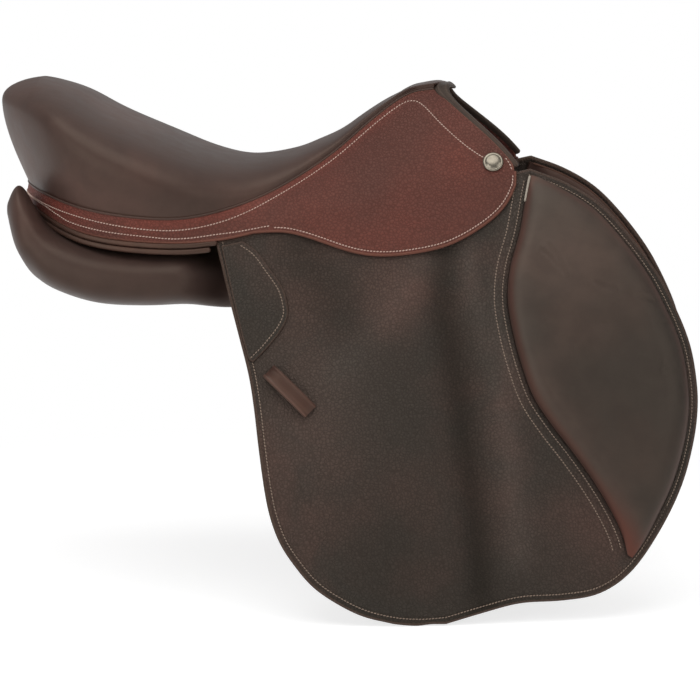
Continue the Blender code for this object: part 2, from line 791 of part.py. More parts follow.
def panelRing(inner, middle, lower, half, crown=0.0):
    """A rounded section about a bent centre line, from the gullet side round to the lower edge."""
    centre = np.array([inner, middle, lower])
    count = 9
    upper, under = [], []
    for i in range(count):
        s = 0.5 - 0.5 * math.cos(math.pi * i / (count - 1))
        here = along(centre, s)
        step = along(centre, min(1.0, s + 0.01)) - along(centre, max(0.0, s - 0.01))
        step /= np.linalg.norm(step)
        normal = np.array((-step[1], step[0]))
        fill = (1 - abs(2 * s - 1) ** panel_squareness) ** (1 / panel_squareness)
        upper.append(here + normal * (half * fill + crown * math.sin(math.pi * s) ** 2))
        under.append(here - normal * half * fill)
    return upper + under[-2:0:-1]


def makePanels(calf, lining):
    """Flocked panels on each side of the gullet, and the lining of the channel between them."""
    rear = np.array(panel_rear) * mm
    front = np.array(panel_front) * mm
    sections = []
    for i in range(14):
        x, y0, z0, y1, z1, y2, z2, half = along(rear, i / 13)
        sections.append((x, panelRing((y0, z0), (y1, z1), (y2, z2), half)))
    for i in range(12):
        x, y0, z0, drop, lower, half = along(front, i / 11)
        middle_z = z0 - drop
        depth = (panel_inset + half) * math.hypot(1, side_slope)
        ring = panelRing((y0, z0), (flankY(x, middle_z) - depth - 2 * mm, middle_z),
                         (flankY(x, lower) - depth + 2 * mm, lower), half)
        sections.append((x, ring))
    for side, letter in sides:
        loft("panel_" + letter, [[Vector((x, y * side, z)) for y, z in ring] for x, ring in sections], calf)

    edge_rear, edge_front = rear[:, [0, 1, 2]], front[:, [0, 1, 2]]
    edges = np.vstack((edge_rear[2:], edge_front[:-2]))

    def place(u, v, k):
        x, y, z = along(edges, u)
        across = mixed(-1, 1, v)
        half = y - clearance - 1.0 * mm
        return Vector((x, across * half, z + 10 * mm * (1 - across ** 2) + lining_leather * (k - 0.5)))

    slab("gullet_lining", 14, 6, place, lining)


def barFrame(side):
    """Right-handed frame on the hinge line: x forward along it, y to the left, z up the skirt."""
    origin = Vector((bar_centre_x, hingeY(bar_centre_x), hingeZ(bar_centre_x)))
    forward = hinge_run.normalized()
    outward = Vector((0, 1, side_slope))
    outward = (outward - forward * outward.dot(forward)).normalized()
    forward, outward, origin = [Vector((v.x, v.y * side, v.z)) for v in (forward, outward, origin)]
    left = outward * side
    upward = forward.cross(left)
    return Matrix.Translation(origin) @ Matrix((forward, left, upward)).transposed().to_4x4()


def makeBars(steel):
    """Stirrup bars with their catches, pins and rivets, open to the rear."""
    for side, letter in sides:
        frame = barFrame(side)
        outer, inner = bar_inset, bar_inset + bar_thickness
        rear, front = -bar_length / 2, bar_length / 2
        outline = [(rear, -outer), (front, -outer), (front, -arm_reach), (front - arm_width, -arm_reach),
                   (front - arm_width, -inner), (rear, -inner)]
        bar = prism("stirrup_bar_" + letter, frame, [(a, o * side) for a, o in outline],
                    bar_above_hinge, bar_above_hinge + bar_height, steel)
        pin_a, pin_u = rear + 5.5 * mm, bar_above_hinge + bar_height / 2
        pin_frame = frame @ Matrix.Translation((pin_a, 0, pin_u))
        hole = rod("bar_hole_" + letter, pin_frame, pin_radius + clearance, -40 * mm, 40 * mm, steel)
        cut(bar, hole)
        near, far = inner + clearance, inner + clearance + catch_thickness
        catch = box("bar_catch_" + letter, pin_frame, (3.8 * mm - catch_length, -near * side, -3.6 * mm),
                    (3.8 * mm, -far * side, 3.6 * mm), steel)
        cut(catch, rod("catch_hole_" + letter, pin_frame, pin_radius + clearance, -40 * mm, 40 * mm, steel))
        rod("catch_pin_" + letter, pin_frame, pin_radius, -(outer + 0.4 * mm) * side, -(far - 0.2 * mm) * side,
            steel)
        for order, name in enumerate(("bar_rivet_front_", "bar_rivet_rear_")):
            spot = frame @ Vector((front - 4 * mm - order * 7.5 * mm, -(outer - clearance) * side, pin_u))
            outward = (frame.to_3x3() @ Vector((0, side, 0))).normalized()
            turned(name + letter, domedProfile(rivet_radius, rivet_height, 3), spot, outward, steel, 10)


def billetCentre(z, inset):
    """A point of the girthing's middle line, behind the flank at one x."""
    step = 1 * mm
    slope = (flankY(billet_centre_x, z + step) - flankY(billet_centre_x, z - step)) / (2 * step)
    normal = Vector((0, 1, -slope)).normalized()
    return Vector((billet_centre_x, flankY(billet_centre_x, z), z)) - normal * inset, normal


def swingPoint(side):
    """Where the billets swing from: the top of the middle one."""
    centre = billetCentre(hingeZ(billet_centre_x) + billet_rise, billet_inset + billet_leather / 2)[0]
    return Vector((centre.x, centre.y * side, centre.z))


def makeGirthing(strap, guard_leather_material):
    """Three billets a side on one web, and the guard that slides on them."""
    reach, low = billet_pitch, -60 * mm
    rise = flankY(billet_centre_x + reach, low) - flankY(billet_centre_x - reach, low)
    level = Vector((2 * reach, rise, 0)).normalized()
    for side, letter in sides:
        across = Vector((level.x, level.y * side, 0))
        for order in range(billet_count):
            shift = (order - (billet_count - 1) / 2) * -billet_pitch
            frames = []
            top = hingeZ(billet_centre_x + shift) + billet_rise
            for z in [top - (billet_length - 25 * mm) * i / 8 for i in range(9)]:
                centre, normal = billetCentre(z, billet_inset + billet_leather / 2)
                centre, normal = [Vector((v.x, v.y * side, v.z)) for v in (centre, normal)]
                normal = (normal - across * normal.dot(across)).normalized()
                frames.append((centre + across * shift, across, normal))
            name = ("billet_front_", "billet_middle_", "billet_rear_")[order]
            billet = sweep(name + letter, frames, billet_width, billet_leather, strap)
            turnsAbout(billet, swingPoint(side))

        z = hingeZ(billet_centre_x) - guard_below_hinge
        centre, normal = billetCentre(z, billet_inset + billet_leather / 2)
        centre, normal = [Vector((v.x, v.y * side, v.z)) for v in (centre, normal)]
        normal = (normal - across * normal.dot(across)).normalized()
        left = normal * side
        frame = Matrix.Translation(centre) @ Matrix((across, left, across.cross(left))).transposed().to_4x4()
        half_width = ((billet_count - 1) * billet_pitch + billet_width) / 2 + billet_run
        half_depth = billet_leather / 2 + billet_run
        guard = box("buckle_guard_" + letter, frame,
                    (-half_width - guard_leather, -half_depth - guard_leather, -guard_height / 2),
                    (half_width + guard_leather, half_depth + guard_leather, guard_height / 2),
                    guard_leather_material)
        cut(guard, box("guard_hollow_" + letter, frame, (-half_width, -half_depth, -guard_height),
                       (half_width, half_depth, guard_height), guard_leather_material))


sides = ((1, "L"), (-1, "R"))
clearScene()
parts = newCollection("jumping_saddle")
cutters = newCollection("cutters")
calf = newMaterial("dark_brown_calf", (0.072, 0.046, 0.036), 0.42)
flap_grain = newMaterial("dark_brown_grain_leather", (0.058, 0.038, 0.030), 0.55)
skirt_grain = newMaterial("red_brown_grain_leather", (0.155, 0.052, 0.040), 0.5)
strap_leather = newMaterial("billet_leather", (0.06, 0.035, 0.025), 0.5)
beech = newMaterial("laminated_beech", (0.45, 0.30, 0.17), 0.6)
spring_steel = newMaterial("spring_steel", (0.35, 0.36, 0.38), 0.35, 1.0)
nickel_plate = newMaterial("nickel_plate", (0.66, 0.62, 0.54), 0.25, 1.0)
latex = newMaterial("latex_foam", (0.75, 0.70, 0.58), 0.9)
linen_web = newMaterial("linen_web", (0.62, 0.55, 0.42), 0.9)

makeTree(beech, spring_steel, linen_web)
makeSeat(calf, latex, calf)
makeSkirts(skirt_grain, nickel_plate)
makeFlaps(flap_grain, calf)
makePanels(calf, calf)
makeBars(spring_steel)
makeGirthing(strap_leather, strap_leather)
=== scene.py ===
import math
import bpy
import numpy as np
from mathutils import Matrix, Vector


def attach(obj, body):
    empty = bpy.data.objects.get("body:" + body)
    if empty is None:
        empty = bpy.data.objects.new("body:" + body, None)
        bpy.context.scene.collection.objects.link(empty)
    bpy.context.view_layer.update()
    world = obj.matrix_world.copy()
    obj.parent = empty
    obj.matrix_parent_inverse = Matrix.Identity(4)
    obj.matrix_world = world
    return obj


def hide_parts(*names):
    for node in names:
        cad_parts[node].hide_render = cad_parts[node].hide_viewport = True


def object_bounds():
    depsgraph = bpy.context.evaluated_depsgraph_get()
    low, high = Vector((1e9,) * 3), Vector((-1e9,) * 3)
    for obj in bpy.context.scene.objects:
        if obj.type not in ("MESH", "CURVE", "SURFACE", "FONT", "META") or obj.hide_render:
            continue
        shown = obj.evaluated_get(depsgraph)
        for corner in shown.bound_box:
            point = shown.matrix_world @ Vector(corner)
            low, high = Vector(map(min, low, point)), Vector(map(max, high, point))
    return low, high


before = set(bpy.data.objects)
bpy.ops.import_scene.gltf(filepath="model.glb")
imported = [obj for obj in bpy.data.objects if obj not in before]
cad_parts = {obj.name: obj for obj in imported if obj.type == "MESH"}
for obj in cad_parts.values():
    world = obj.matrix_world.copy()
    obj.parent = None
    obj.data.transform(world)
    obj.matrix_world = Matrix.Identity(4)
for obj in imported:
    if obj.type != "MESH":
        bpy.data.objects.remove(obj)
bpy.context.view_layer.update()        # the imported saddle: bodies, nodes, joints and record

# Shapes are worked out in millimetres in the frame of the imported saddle: x towards the pommel,
# y to the horse's left, z up. Meshes are stored in metres, with their place in the mesh.
mm = 0.001
sides = ((1, "L"), (-1, "R"))

# The saddle's lines on its left side, front to rear, and the flank that the flaps hang on
lines = dict(
    welt=((176, 30, 194.5), (151, 37, 190), (119, 49, 167), (81, 68, 134.5), (35, 96, 106),
          (-9, 120, 89), (-58, 137, 81), (-126, 132, 87), (-176, 97, 99), (-212, 0, 107)),
    rimX=(254, 221, 176, 122, 59, -9),
    rimRear=((-62, 138, 60), (-134, 128, 66), (-182, 92, 83), (-214, 0, 95)),
    spineX=(190, 162, 124, 84, 34, -22, -76, -124, -160, -181),
    spine=((-195, 206.5), (-156, 193), (-123, 174), (-74, 152), (-40, 139), (0, 131), (43, 137),
           (67, 146), (89, 156), (110, 171), (132, 185), (154, 195), (168, 199.5), (181, 201), (192, 197)),
    hingeRear=(-9, 131, 64), hingeFront=(254, 95, 124),
)
flank = dict(drop=400.0, splay=112.0, power=1.7, wrap=26.0, wrapCentre=140.0, wrapHalf=275.0)
seatEdge = dict(frontReach=1.0, rearReach=26.0, frontRise=4.8, rearRise=77.0, topShare=0.72,
                dome=2.02, tuck=1.7)
archPower = 1.75               # of the superellipse that the tree's arch follows across

# How far the outer face of each layer lies behind the flank
depths = dict(flap=3.8, web=26.6, billet=28.9, sweat=37.4, panel=41.2)


# Curves and surfaces

def mixed(a, b, share):
    return a + (b - a) * share


def smoothStep(share):
    share = np.clip(share, 0.0, 1.0)
    return share * share * (3 - 2 * share)


def bell(distance, width):
    return np.exp(-(distance / width) ** 2)


def unit(v):
    return v / np.maximum(np.linalg.norm(v, axis=-1, keepdims=True), 1e-9)


def curveThrough(points, count=601, blur=0.0, closes=False):
    # Catmull-Rom curve through evenly numbered points, sampled finely, then blurred along its
    # length by a bell as wide as blur, a share of the whole, so that it bends evenly. Past its
    # ends it goes on as its own image turned about the end point, or mirrored in y = 0 if it closes.
    p = np.asarray(points, float)
    last = len(p) - 1
    place = np.linspace(0, last, count)
    i = np.minimum(place.astype(int), last - 1)
    f = (place - i)[:, None]
    mirror = np.ones(p.shape[1])
    if closes:
        mirror[1] = -1
    after = p[-2] * mirror if closes else 2 * p[-1] - p[-2]
    ext = np.vstack([2 * p[0] - p[1], p, after])
    a, b = ext[i + 1], ext[i + 2]
    slopeA, slopeB = (b - ext[i]) / 2, (ext[i + 3] - a) / 2
    curve = ((2 * f ** 3 - 3 * f ** 2 + 1) * a + (f ** 3 - 2 * f ** 2 + f) * slopeA
             + (3 * f ** 2 - 2 * f ** 3) * b + (f ** 3 - f ** 2) * slopeB)
    if blur:
        reach = int(round(3 * blur * count))
        weights = np.exp(-0.5 * (np.arange(-reach, reach + 1) / (blur * count)) ** 2)
        weights /= weights.sum()
        before = 2 * curve[0] - curve[reach:0:-1]
        beyond = curve[-2:-reach - 2:-1]
        beyond = beyond * mirror if closes else 2 * curve[-1] - beyond
        drawn = np.vstack([before, curve, beyond])
        curve = np.stack([np.convolve(column, weights, "valid") for column in drawn.T], 1)
    return curve


def at(curve, t):
    # the curve's point at each share t of its own numbering
    t = np.asarray(t, float)
    grid = np.linspace(0, 1, len(curve))
    return np.stack([np.interp(t, grid, column) for column in curve.T], -1)


hingeRear, hingeFront = np.array(lines["hingeRear"], float), np.array(lines["hingeFront"], float)
hingeRun = hingeFront - hingeRear
hingeSlopeY, hingeSlopeZ = hingeRun[1] / hingeRun[0], hingeRun[2] / hingeRun[0]
sideSlope = flank["splay"] * flank["power"] / flank["drop"]


def hingeY(x):
    return hingeRear[1] + (x - hingeRear[0]) * hingeSlopeY


def hingeZ(x):
    return hingeRear[2] + (x - hingeRear[0]) * hingeSlopeZ


def flankY(x, z):
    # below the hinge line the flank splays out by a power of the drop and wraps in fore and aft;
    # above the line it goes on straight
    drop = (hingeZ(x) - z) / flank["drop"]
    low = np.clip(drop, 0, 1)
    wrap = flank["wrap"] * ((x - flank["wrapCentre"]) / flank["wrapHalf"]) ** 2
    below = flank["splay"] * (1 - (1 - low) ** flank["power"]) - wrap * np.minimum(1, low * 3)
    return hingeY(x) + np.where(drop < 0, sideSlope * drop * flank["drop"], below)


def flankNormal(x, z):
    dx = (flankY(x + 1, z) - flankY(x - 1, z)) / 2
    dz = (flankY(x, z + 1) - flankY(x, z - 1)) / 2
    return unit(np.stack([-dx, np.ones_like(dx), -dz], -1))


def flankAt(xz, out=0.0):
    # a point that stands out from the flank surface by out, square to it
    x, z = xz[..., 0], xz[..., 1]
    return np.stack([x, flankY(x, z), z], -1) + flankNormal(x, z) * np.asarray(out, float)[..., None]


weltLine = curveThrough(lines["welt"], 901, 0.022, True)
rimStart = [(x, hingeY(x), hingeZ(x)) for x in lines["rimX"]]
rimLine = curveThrough(rimStart + list(lines["rimRear"]), 901, 0.022, True)
spineStart = curveThrough([(x, 0) for x in lines["spineX"]], 901, 0.02)[:, 0]
spineCurve = curveThrough(lines["spine"], 901, 0.016)


def spineZ(x):
    return np.interp(x, spineCurve[:, 0], spineCurve[:, 1])


def startX(t):
    # where each section of the seat leaves the middle line, eased so that the cantle has no crease
    f = np.clip((t - 0.8) / 0.2, 0, 1)
    eased = np.where(t > 0.8, 0.8 + 0.2 * (f + f * f - f ** 3), t)
    return np.interp(eased, np.linspace(0, 1, len(spineStart)), spineStart)


def swellAt(t):
    # from 0 along the pommel and the waist, where the seat's edge is low, to 1 at the cantle
    return smoothStep((t - 0.45) / 0.55)


def seatAt(t, q):
    # t runs from pommel to cantle, q from the middle line to the welt. Up to topShare the seat falls
    # from the spine to its widest line as a superellipse; past it the side tucks in down to the welt.
    t, q = np.broadcast_arrays(np.asarray(t, float), np.asarray(q, float))
    welt, start = at(weltLine, t), startX(t)
    reach = mixed(seatEdge["frontReach"], seatEdge["rearReach"], swellAt(t))
    rise = mixed(seatEdge["frontRise"], seatEdge["rearRise"], swellAt(t))
    away = unit(np.stack([welt[..., 0] - start, welt[..., 1], np.zeros_like(t)], -1))
    wide = welt + away * reach[..., None]
    wide[..., 2] += rise
    top = seatEdge["topShare"]
    out = np.sin(math.pi / 2 * np.clip(q / top, 0, 1))
    fall = 1 - (1 - out ** seatEdge["dome"]) ** (1 / seatEdge["dome"])
    x = mixed(start, wide[..., 0], out)
    height = spineZ(x) + (wide[..., 2] - spineZ(wide[..., 0])) * fall
    upper = np.stack([x, wide[..., 1] * out, height], -1)
    down = np.clip((q - top) / (1 - top), 0, 1)
    lower = wide - away * (reach * down ** seatEdge["tuck"])[..., None]
    lower[..., 2] -= rise * down
    return np.where((q < top)[..., None], upper, lower)


def skirtAt(t, v):
    # a quadratic curve from the welt to the rim, which leaves the rim along the flank surface
    t, v = np.broadcast_arrays(np.asarray(t, float), np.asarray(v, float))
    welt, rim = at(weltLine, t), at(rimLine, t)
    straight = np.stack([rim[..., 0], hingeY(rim[..., 0]), hingeZ(rim[..., 0])], -1)
    rim = mixed(straight, rim, smoothStep((t - 0.5) / 0.09)[..., None])
    run = welt - rim
    lean = (hingeSlopeY + sideSlope * hingeSlopeZ) * run[..., 0] - sideSlope * run[..., 2]
    bulged = rim + 0.5 * np.stack([run[..., 0], lean, run[..., 2]], -1)
    control = mixed(bulged, rim + run / 2, smoothStep((t - 0.5) / 0.15)[..., None])
    v = v[..., None]
    return welt * (1 - v) ** 2 + control * 2 * v * (1 - v) + rim * v ** 2


def archAt(t, w):
    # the tree's arch from the middle line (w = 0) to the rim (w = 1), a superellipse
    start, rim = startX(t), at(rimLine, t)
    out = np.sin(math.pi / 2 * np.clip(w, 0, 1))
    rise = (1 - out ** archPower) ** (1 / archPower)
    return np.stack([mixed(rim[..., 0], start, rise), rim[..., 1] * out,
                     mixed(rim[..., 2], spineZ(start), rise)], -1)


def normals(p, centre=(0, 0, 0)):
    # unit normals of a grid of points, turned away from a centre
    n = unit(np.cross(np.gradient(p, axis=0), np.gradient(p, axis=1)))
    return n if (n * (p - np.asarray(centre))).sum() > 0 else -n


def lengthAlong(path):
    return np.concatenate([[0], np.cumsum(np.linalg.norm(np.diff(path, axis=0), axis=1))])


def softened(rows, reach):
    # the rows of a path averaged along it by a bell that reaches so many rows, with the ends kept
    weights = np.hanning(2 * reach + 3)[1:-1]
    padded = np.pad(rows, ((reach, reach), (0, 0)), "reflect", reflect_type="odd")
    return np.stack([np.convolve(column, weights / weights.sum(), "valid") for column in padded.T], 1)


def evenly(path, pitch, *partners):
    # the path taken again at equal steps of about pitch, and its partner rows at the same places
    s = lengthAlong(path)
    count = max(int(s[-1] / pitch), 2)
    wanted = (np.arange(count) + 0.5) * s[-1] / count
    return [np.stack([np.interp(wanted, s, column) for column in rows.T], 1)
            for rows in (path,) + partners]


def distanceTo(points, line):
    # distance in the side plane from each point to the nearest stretch of a line
    p = points.reshape(-1, 1, 2)
    a, ab = line[None, :-1], (line[1:] - line[:-1])[None]
    result = np.empty(len(p))
    for part in np.array_split(np.arange(len(p)), max(len(p) // 3000, 1)):
        ap = p[part] - a
        share = np.clip((ap * ab).sum(-1) / np.maximum((ab ** 2).sum(-1), 1e-9), 0, 1)
        result[part] = np.sqrt((((ap - ab * share[..., None]) ** 2).sum(-1)).min(1))
    return result.reshape(points.shape[:-1])


def crowded(count, amount=0.6):
    # shares from 0 to 1 that crowd towards both ends
    u = np.linspace(0, 1, count)
    return mixed(u, 0.5 - 0.5 * np.cos(math.pi * u), amount)


def crown(distance, reach, power, root):
    # a stuffed piece's rise from 0 at its edge to 1 past its reach, as a power of a power
    return (1 - (1 - np.clip(distance / reach, 0, 1)) ** power) ** root


def mirrored(points, side):
    return points * np.array((1, side, 1))


def bothSides(grid, s):
    # a grid of left-side points, turned to the right side where s is below 0
    grid[..., 1] *= np.where(s < 0, -1, 1)
    return grid


def flankRow(line, out, side):
    # a line on the flank, raised from it by out, with its normals
    return (mirrored(flankAt(line, np.broadcast_to(out, line.shape[:-1])), side),
            mirrored(flankNormal(line[:, 0], line[:, 1]), side))


# Meshes

def newMesh(name, points, faces, material, attributes=None, sharp=50):
    # faces is a list of index arrays, quads and triangles; unused points are dropped
    used = np.unique(np.concatenate([f.ravel() for f in faces]))
    renumber = np.zeros(len(points), int)
    renumber[used] = np.arange(len(used))
    mesh = bpy.data.meshes.new(name)
    rows = [row for f in faces for row in renumber[f].tolist()]
    mesh.from_pydata(np.asarray(points)[used] * mm, [], rows)
    for label, values in (attributes or {}).items():
        layer = mesh.attributes.new(label, "FLOAT", "POINT")
        layer.data.foreach_set("value", np.asarray(values, np.float32)[used])
    mesh.materials.append(material)
    mesh.shade_smooth()
    mesh.set_sharp_from_angle(angle=math.radians(sharp))
    part = bpy.data.objects.new(name, mesh)
    bpy.context.scene.collection.objects.link(part)
    return part


def outwards(points, faces):
    # turns every face round if the closed mesh has a negative volume
    p = points - points.mean(0)
    volume = sum(np.einsum("ij,ij->", p[f[:, 0]], np.cross(p[f[:, k]], p[f[:, k + 1]]))
                 for f in faces for k in range(1, f.shape[1] - 1))
    return faces if volume > 0 else [f[:, ::-1] for f in faces]


def sheet(name, outer, inner, material, round=1.0, steps=4, welded=False, attributes=None, sharp=50):
    # A closed sheet between two grids of points. Its edge is a half circle between them, drawn
    # out by round, or a flat wall where round is 0. A welded sheet meets itself in its last row.
    rows, columns = outer.shape[:2]
    ids = np.arange(rows * columns).reshape(rows, columns)
    r, c = np.indices(ids.shape)
    parts = [(slice(0, 1), slice(None)), (slice(1, None), slice(-1, None)),
             (slice(-1, None), slice(-2, None, -1)), (slice(-2, 0, -1), slice(0, 1))]
    if welded:
        parts.pop(2)
        middle = columns // 2
        ids[-1, middle + 1:] = ids[-1, middle - 1::-1]
    loopR = np.concatenate([r[part].ravel() for part in parts])
    loopC = np.concatenate([c[part].ravel() for part in parts])
    loop = ids[loopR, loopC]
    count = rows * columns
    flatOuter, flatInner = outer.reshape(-1, 3), inner.reshape(-1, 3)
    a, b = flatOuter[loop], flatInner[loop]
    centre, half = (a + b) / 2, (a - b) / 2
    inside = np.clip(loopR, 1, rows - 2), np.clip(loopC, 1, columns - 2)
    away = centre - (outer[inside] + inner[inside]) / 2
    out = unit(np.cross(np.roll(centre, -1, 0) - np.roll(centre, 1, 0), half))
    out *= np.where((out * away).sum(1) < 0, -1, 1)[:, None]
    bare = np.asarray(round)[loopR, loopC] if np.ndim(round) else np.ones(len(loop))
    depth = np.linalg.norm(half, axis=1) * (bare if np.ndim(round) else round)
    angles = np.pi * np.arange(1, steps + 1) / (steps + 1)
    rings = [centre + half * math.cos(g) + out * (depth * math.sin(g))[:, None] for g in angles]
    points = np.vstack([flatOuter, flatInner] + rings)
    chain = [2 * count + k * len(loop) + np.arange(len(loop)) for k in range(steps)]
    chain = [loop] + chain + [loop + count]
    top = np.stack([ids[:-1, :-1], ids[:-1, 1:], ids[1:, 1:], ids[1:, :-1]], -1).reshape(-1, 4)
    walls = [np.stack([p, q, np.roll(q, -1), np.roll(p, -1)], 1) for p, q in zip(chain, chain[1:])]
    extra = {}
    for label, values in (attributes or {}).items():
        flat = np.asarray(values, float).reshape(-1)
        extra[label] = np.concatenate([flat, flat] + [flat[loop]] * steps)
    edge = np.zeros(len(points))
    edge[loop] = edge[loop + count] = bare
    edge[2 * count:] = np.tile(bare, steps)
    extra["cutEdge"] = edge
    faces = outwards(points, [top, top[:, ::-1] + count] + walls)
    return newMesh(name, points, faces, material, extra, sharp)


def flankSheet(name, xz, out, back, side, material, **settings):
    # a closed sheet on the flank, with its faces raised from it by out and by back
    faces = [mirrored(flankAt(xz, np.broadcast_to(gap, xz.shape[:-1])), side) for gap in (out, back)]
    return sheet(name, *faces, material, **settings)


def skin(name, rings, material, joined=False, attributes=None, sharp=50):
    # A closed skin over rings of points, one ring a row. The first and last rings close on their
    # own middles, unless the rows are joined end to end.
    rows, columns = rings.shape[:2]
    ids = np.arange(rows * columns).reshape(rows, columns)
    points = rings.reshape(-1, 3)
    a, b = (ids, np.roll(ids, -1, 0)) if joined else (ids[:-1], ids[1:])
    faces = [np.stack([a, np.roll(a, -1, 1), np.roll(b, -1, 1), b], -1).reshape(-1, 4)]
    extra = {label: np.asarray(v, float).reshape(-1) for label, v in (attributes or {}).items()}
    if not joined:
        points = np.vstack([points, rings[0].mean(0), rings[-1].mean(0)])
        for row, tip, turn in ((ids[0], len(points) - 2, -1), (ids[-1], len(points) - 1, 1)):
            fan = np.stack([row, np.roll(row, -1), np.full(columns, tip)], 1)
            faces.append(fan[:, ::turn])
        extra = {label: np.append(v, [v[0], v[-1]]) for label, v in extra.items()}
    return newMesh(name, points, outwards(points, faces), material, extra, sharp)


def carried(path, up, section, scale=None, joined=False):
    # a section (across, up) carried along a path, square to it; scale shrinks it row by row
    ahead = unit(np.roll(path, -1, 0) - np.roll(path, 1, 0) if joined else np.gradient(path, axis=0))
    across = unit(np.cross(ahead, np.broadcast_to(up, path.shape)))
    lift = np.cross(across, ahead)
    scale = np.ones((len(path), 1)) if scale is None else np.reshape(scale, (len(path), -1))
    scale = np.broadcast_to(scale, (len(path), 2))
    wide = section[None, :, :1] * scale[:, None, :1]
    high = section[None, :, 1:] * scale[:, None, 1:]
    return path[:, None] + across[:, None] * wide + lift[:, None] * high


def roundedEnds(path, up, section, reach, wide=None):
    # carries a section along a path and rounds both ends over a reach, as a quarter circle; wide
    # widens it row by row
    s = lengthAlong(path)
    ends = reach * (1 - np.cos(np.linspace(0, math.pi / 2, 6)))
    wanted = np.concatenate([ends, np.linspace(reach, s[-1] - reach, len(path))[1:-1], s[-1] - ends[::-1]])
    rows = [np.stack([np.interp(wanted, s, column) for column in line.T], 1)
            for line in (path, np.broadcast_to(up, path.shape))]
    near = np.minimum(wanted, s[-1] - wanted)
    scale = np.sqrt(np.clip(1 - (1 - np.clip(near / reach, 0, 1)) ** 2, 0.02, 1))
    if wide is not None:
        scale = np.stack([scale * np.interp(wanted, s, wide), scale], 1)
    return carried(rows[0], rows[1], section, scale)


def roundedSection(width, height, power=4.0, count=24):
    # a superellipse, flat on its faces and rounded at its edges
    g = 2 * math.pi * np.arange(count) / count
    a, b = np.cos(g), np.sin(g)
    return np.stack([width / 2 * np.sign(a) * np.abs(a) ** (2 / power),
                     height / 2 * np.sign(b) * np.abs(b) ** (2 / power)], 1)


def fit(piece, body, nodes=()):
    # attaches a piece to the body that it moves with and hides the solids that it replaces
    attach(piece, body)
    if nodes:
        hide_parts(*nodes)
    return piece


# Materials

def linear(code):
    # an sRGB hex colour turned to the linear values that the shader takes
    v = np.array([int(code[i:i + 2], 16) for i in (1, 3, 5)]) / 255
    return tuple(np.where(v <= 0.04045, v / 12.92, ((v + 0.055) / 1.055) ** 2.4)) + (1.0,)


def newMaterial(name, **settings):
    material = bpy.data.materials.new(name)
    material.use_nodes = True
    tree = material.node_tree
    shader = tree.nodes["Principled BSDF"]
    for label, value in settings.items():
        shader.inputs[label.replace("_", " ")].default_value = value
    return material, tree, shader


def connect(tree, made, inputs):
    # fills a node's inputs, or links them to another node's first output, which for a mix of
    # colours, whose own sockets are 6 and 7, is its third
    for label, value in inputs.items():
        if isinstance(value, bpy.types.Node):
            value = value.outputs[2 if value.bl_idname == "ShaderNodeMix" else 0]
        if isinstance(value, bpy.types.NodeSocket):
            tree.links.new(value, made.inputs[label])
        else:
            made.inputs[label].default_value = value
    return made


def node(tree, kind, inputs=None, **settings):
    # adds a node, sets its properties, and fills or links its inputs
    made = tree.nodes.new("ShaderNode" + kind)
    for label, value in settings.items():
        setattr(made, label, value)
    return connect(tree, made, inputs or {})


def shaded(tree, colour):
    # painted light and shade from the piece's own map: -1 where the painted shade is darkest, 1 where the
    # painted light is brightest
    own = node(tree, "Attribute", attribute_name="shade").outputs["Fac"]
    level = node(tree, "MapRange", {"Value": own, "From Min": -1.0, "From Max": 1.0,
                                    "To Min": 0.36, "To Max": 1.64})
    return node(tree, "VectorMath", {0: colour, "Scale": level}, operation="SCALE")


def marked(tree, colour, name, mark):
    # lays a colour over another where the piece's own map of that name says so
    own = node(tree, "Attribute", attribute_name=name).outputs["Fac"]
    return node(tree, "Mix", {0: own, 6: colour, 7: linear(mark)}, data_type="RGBA")


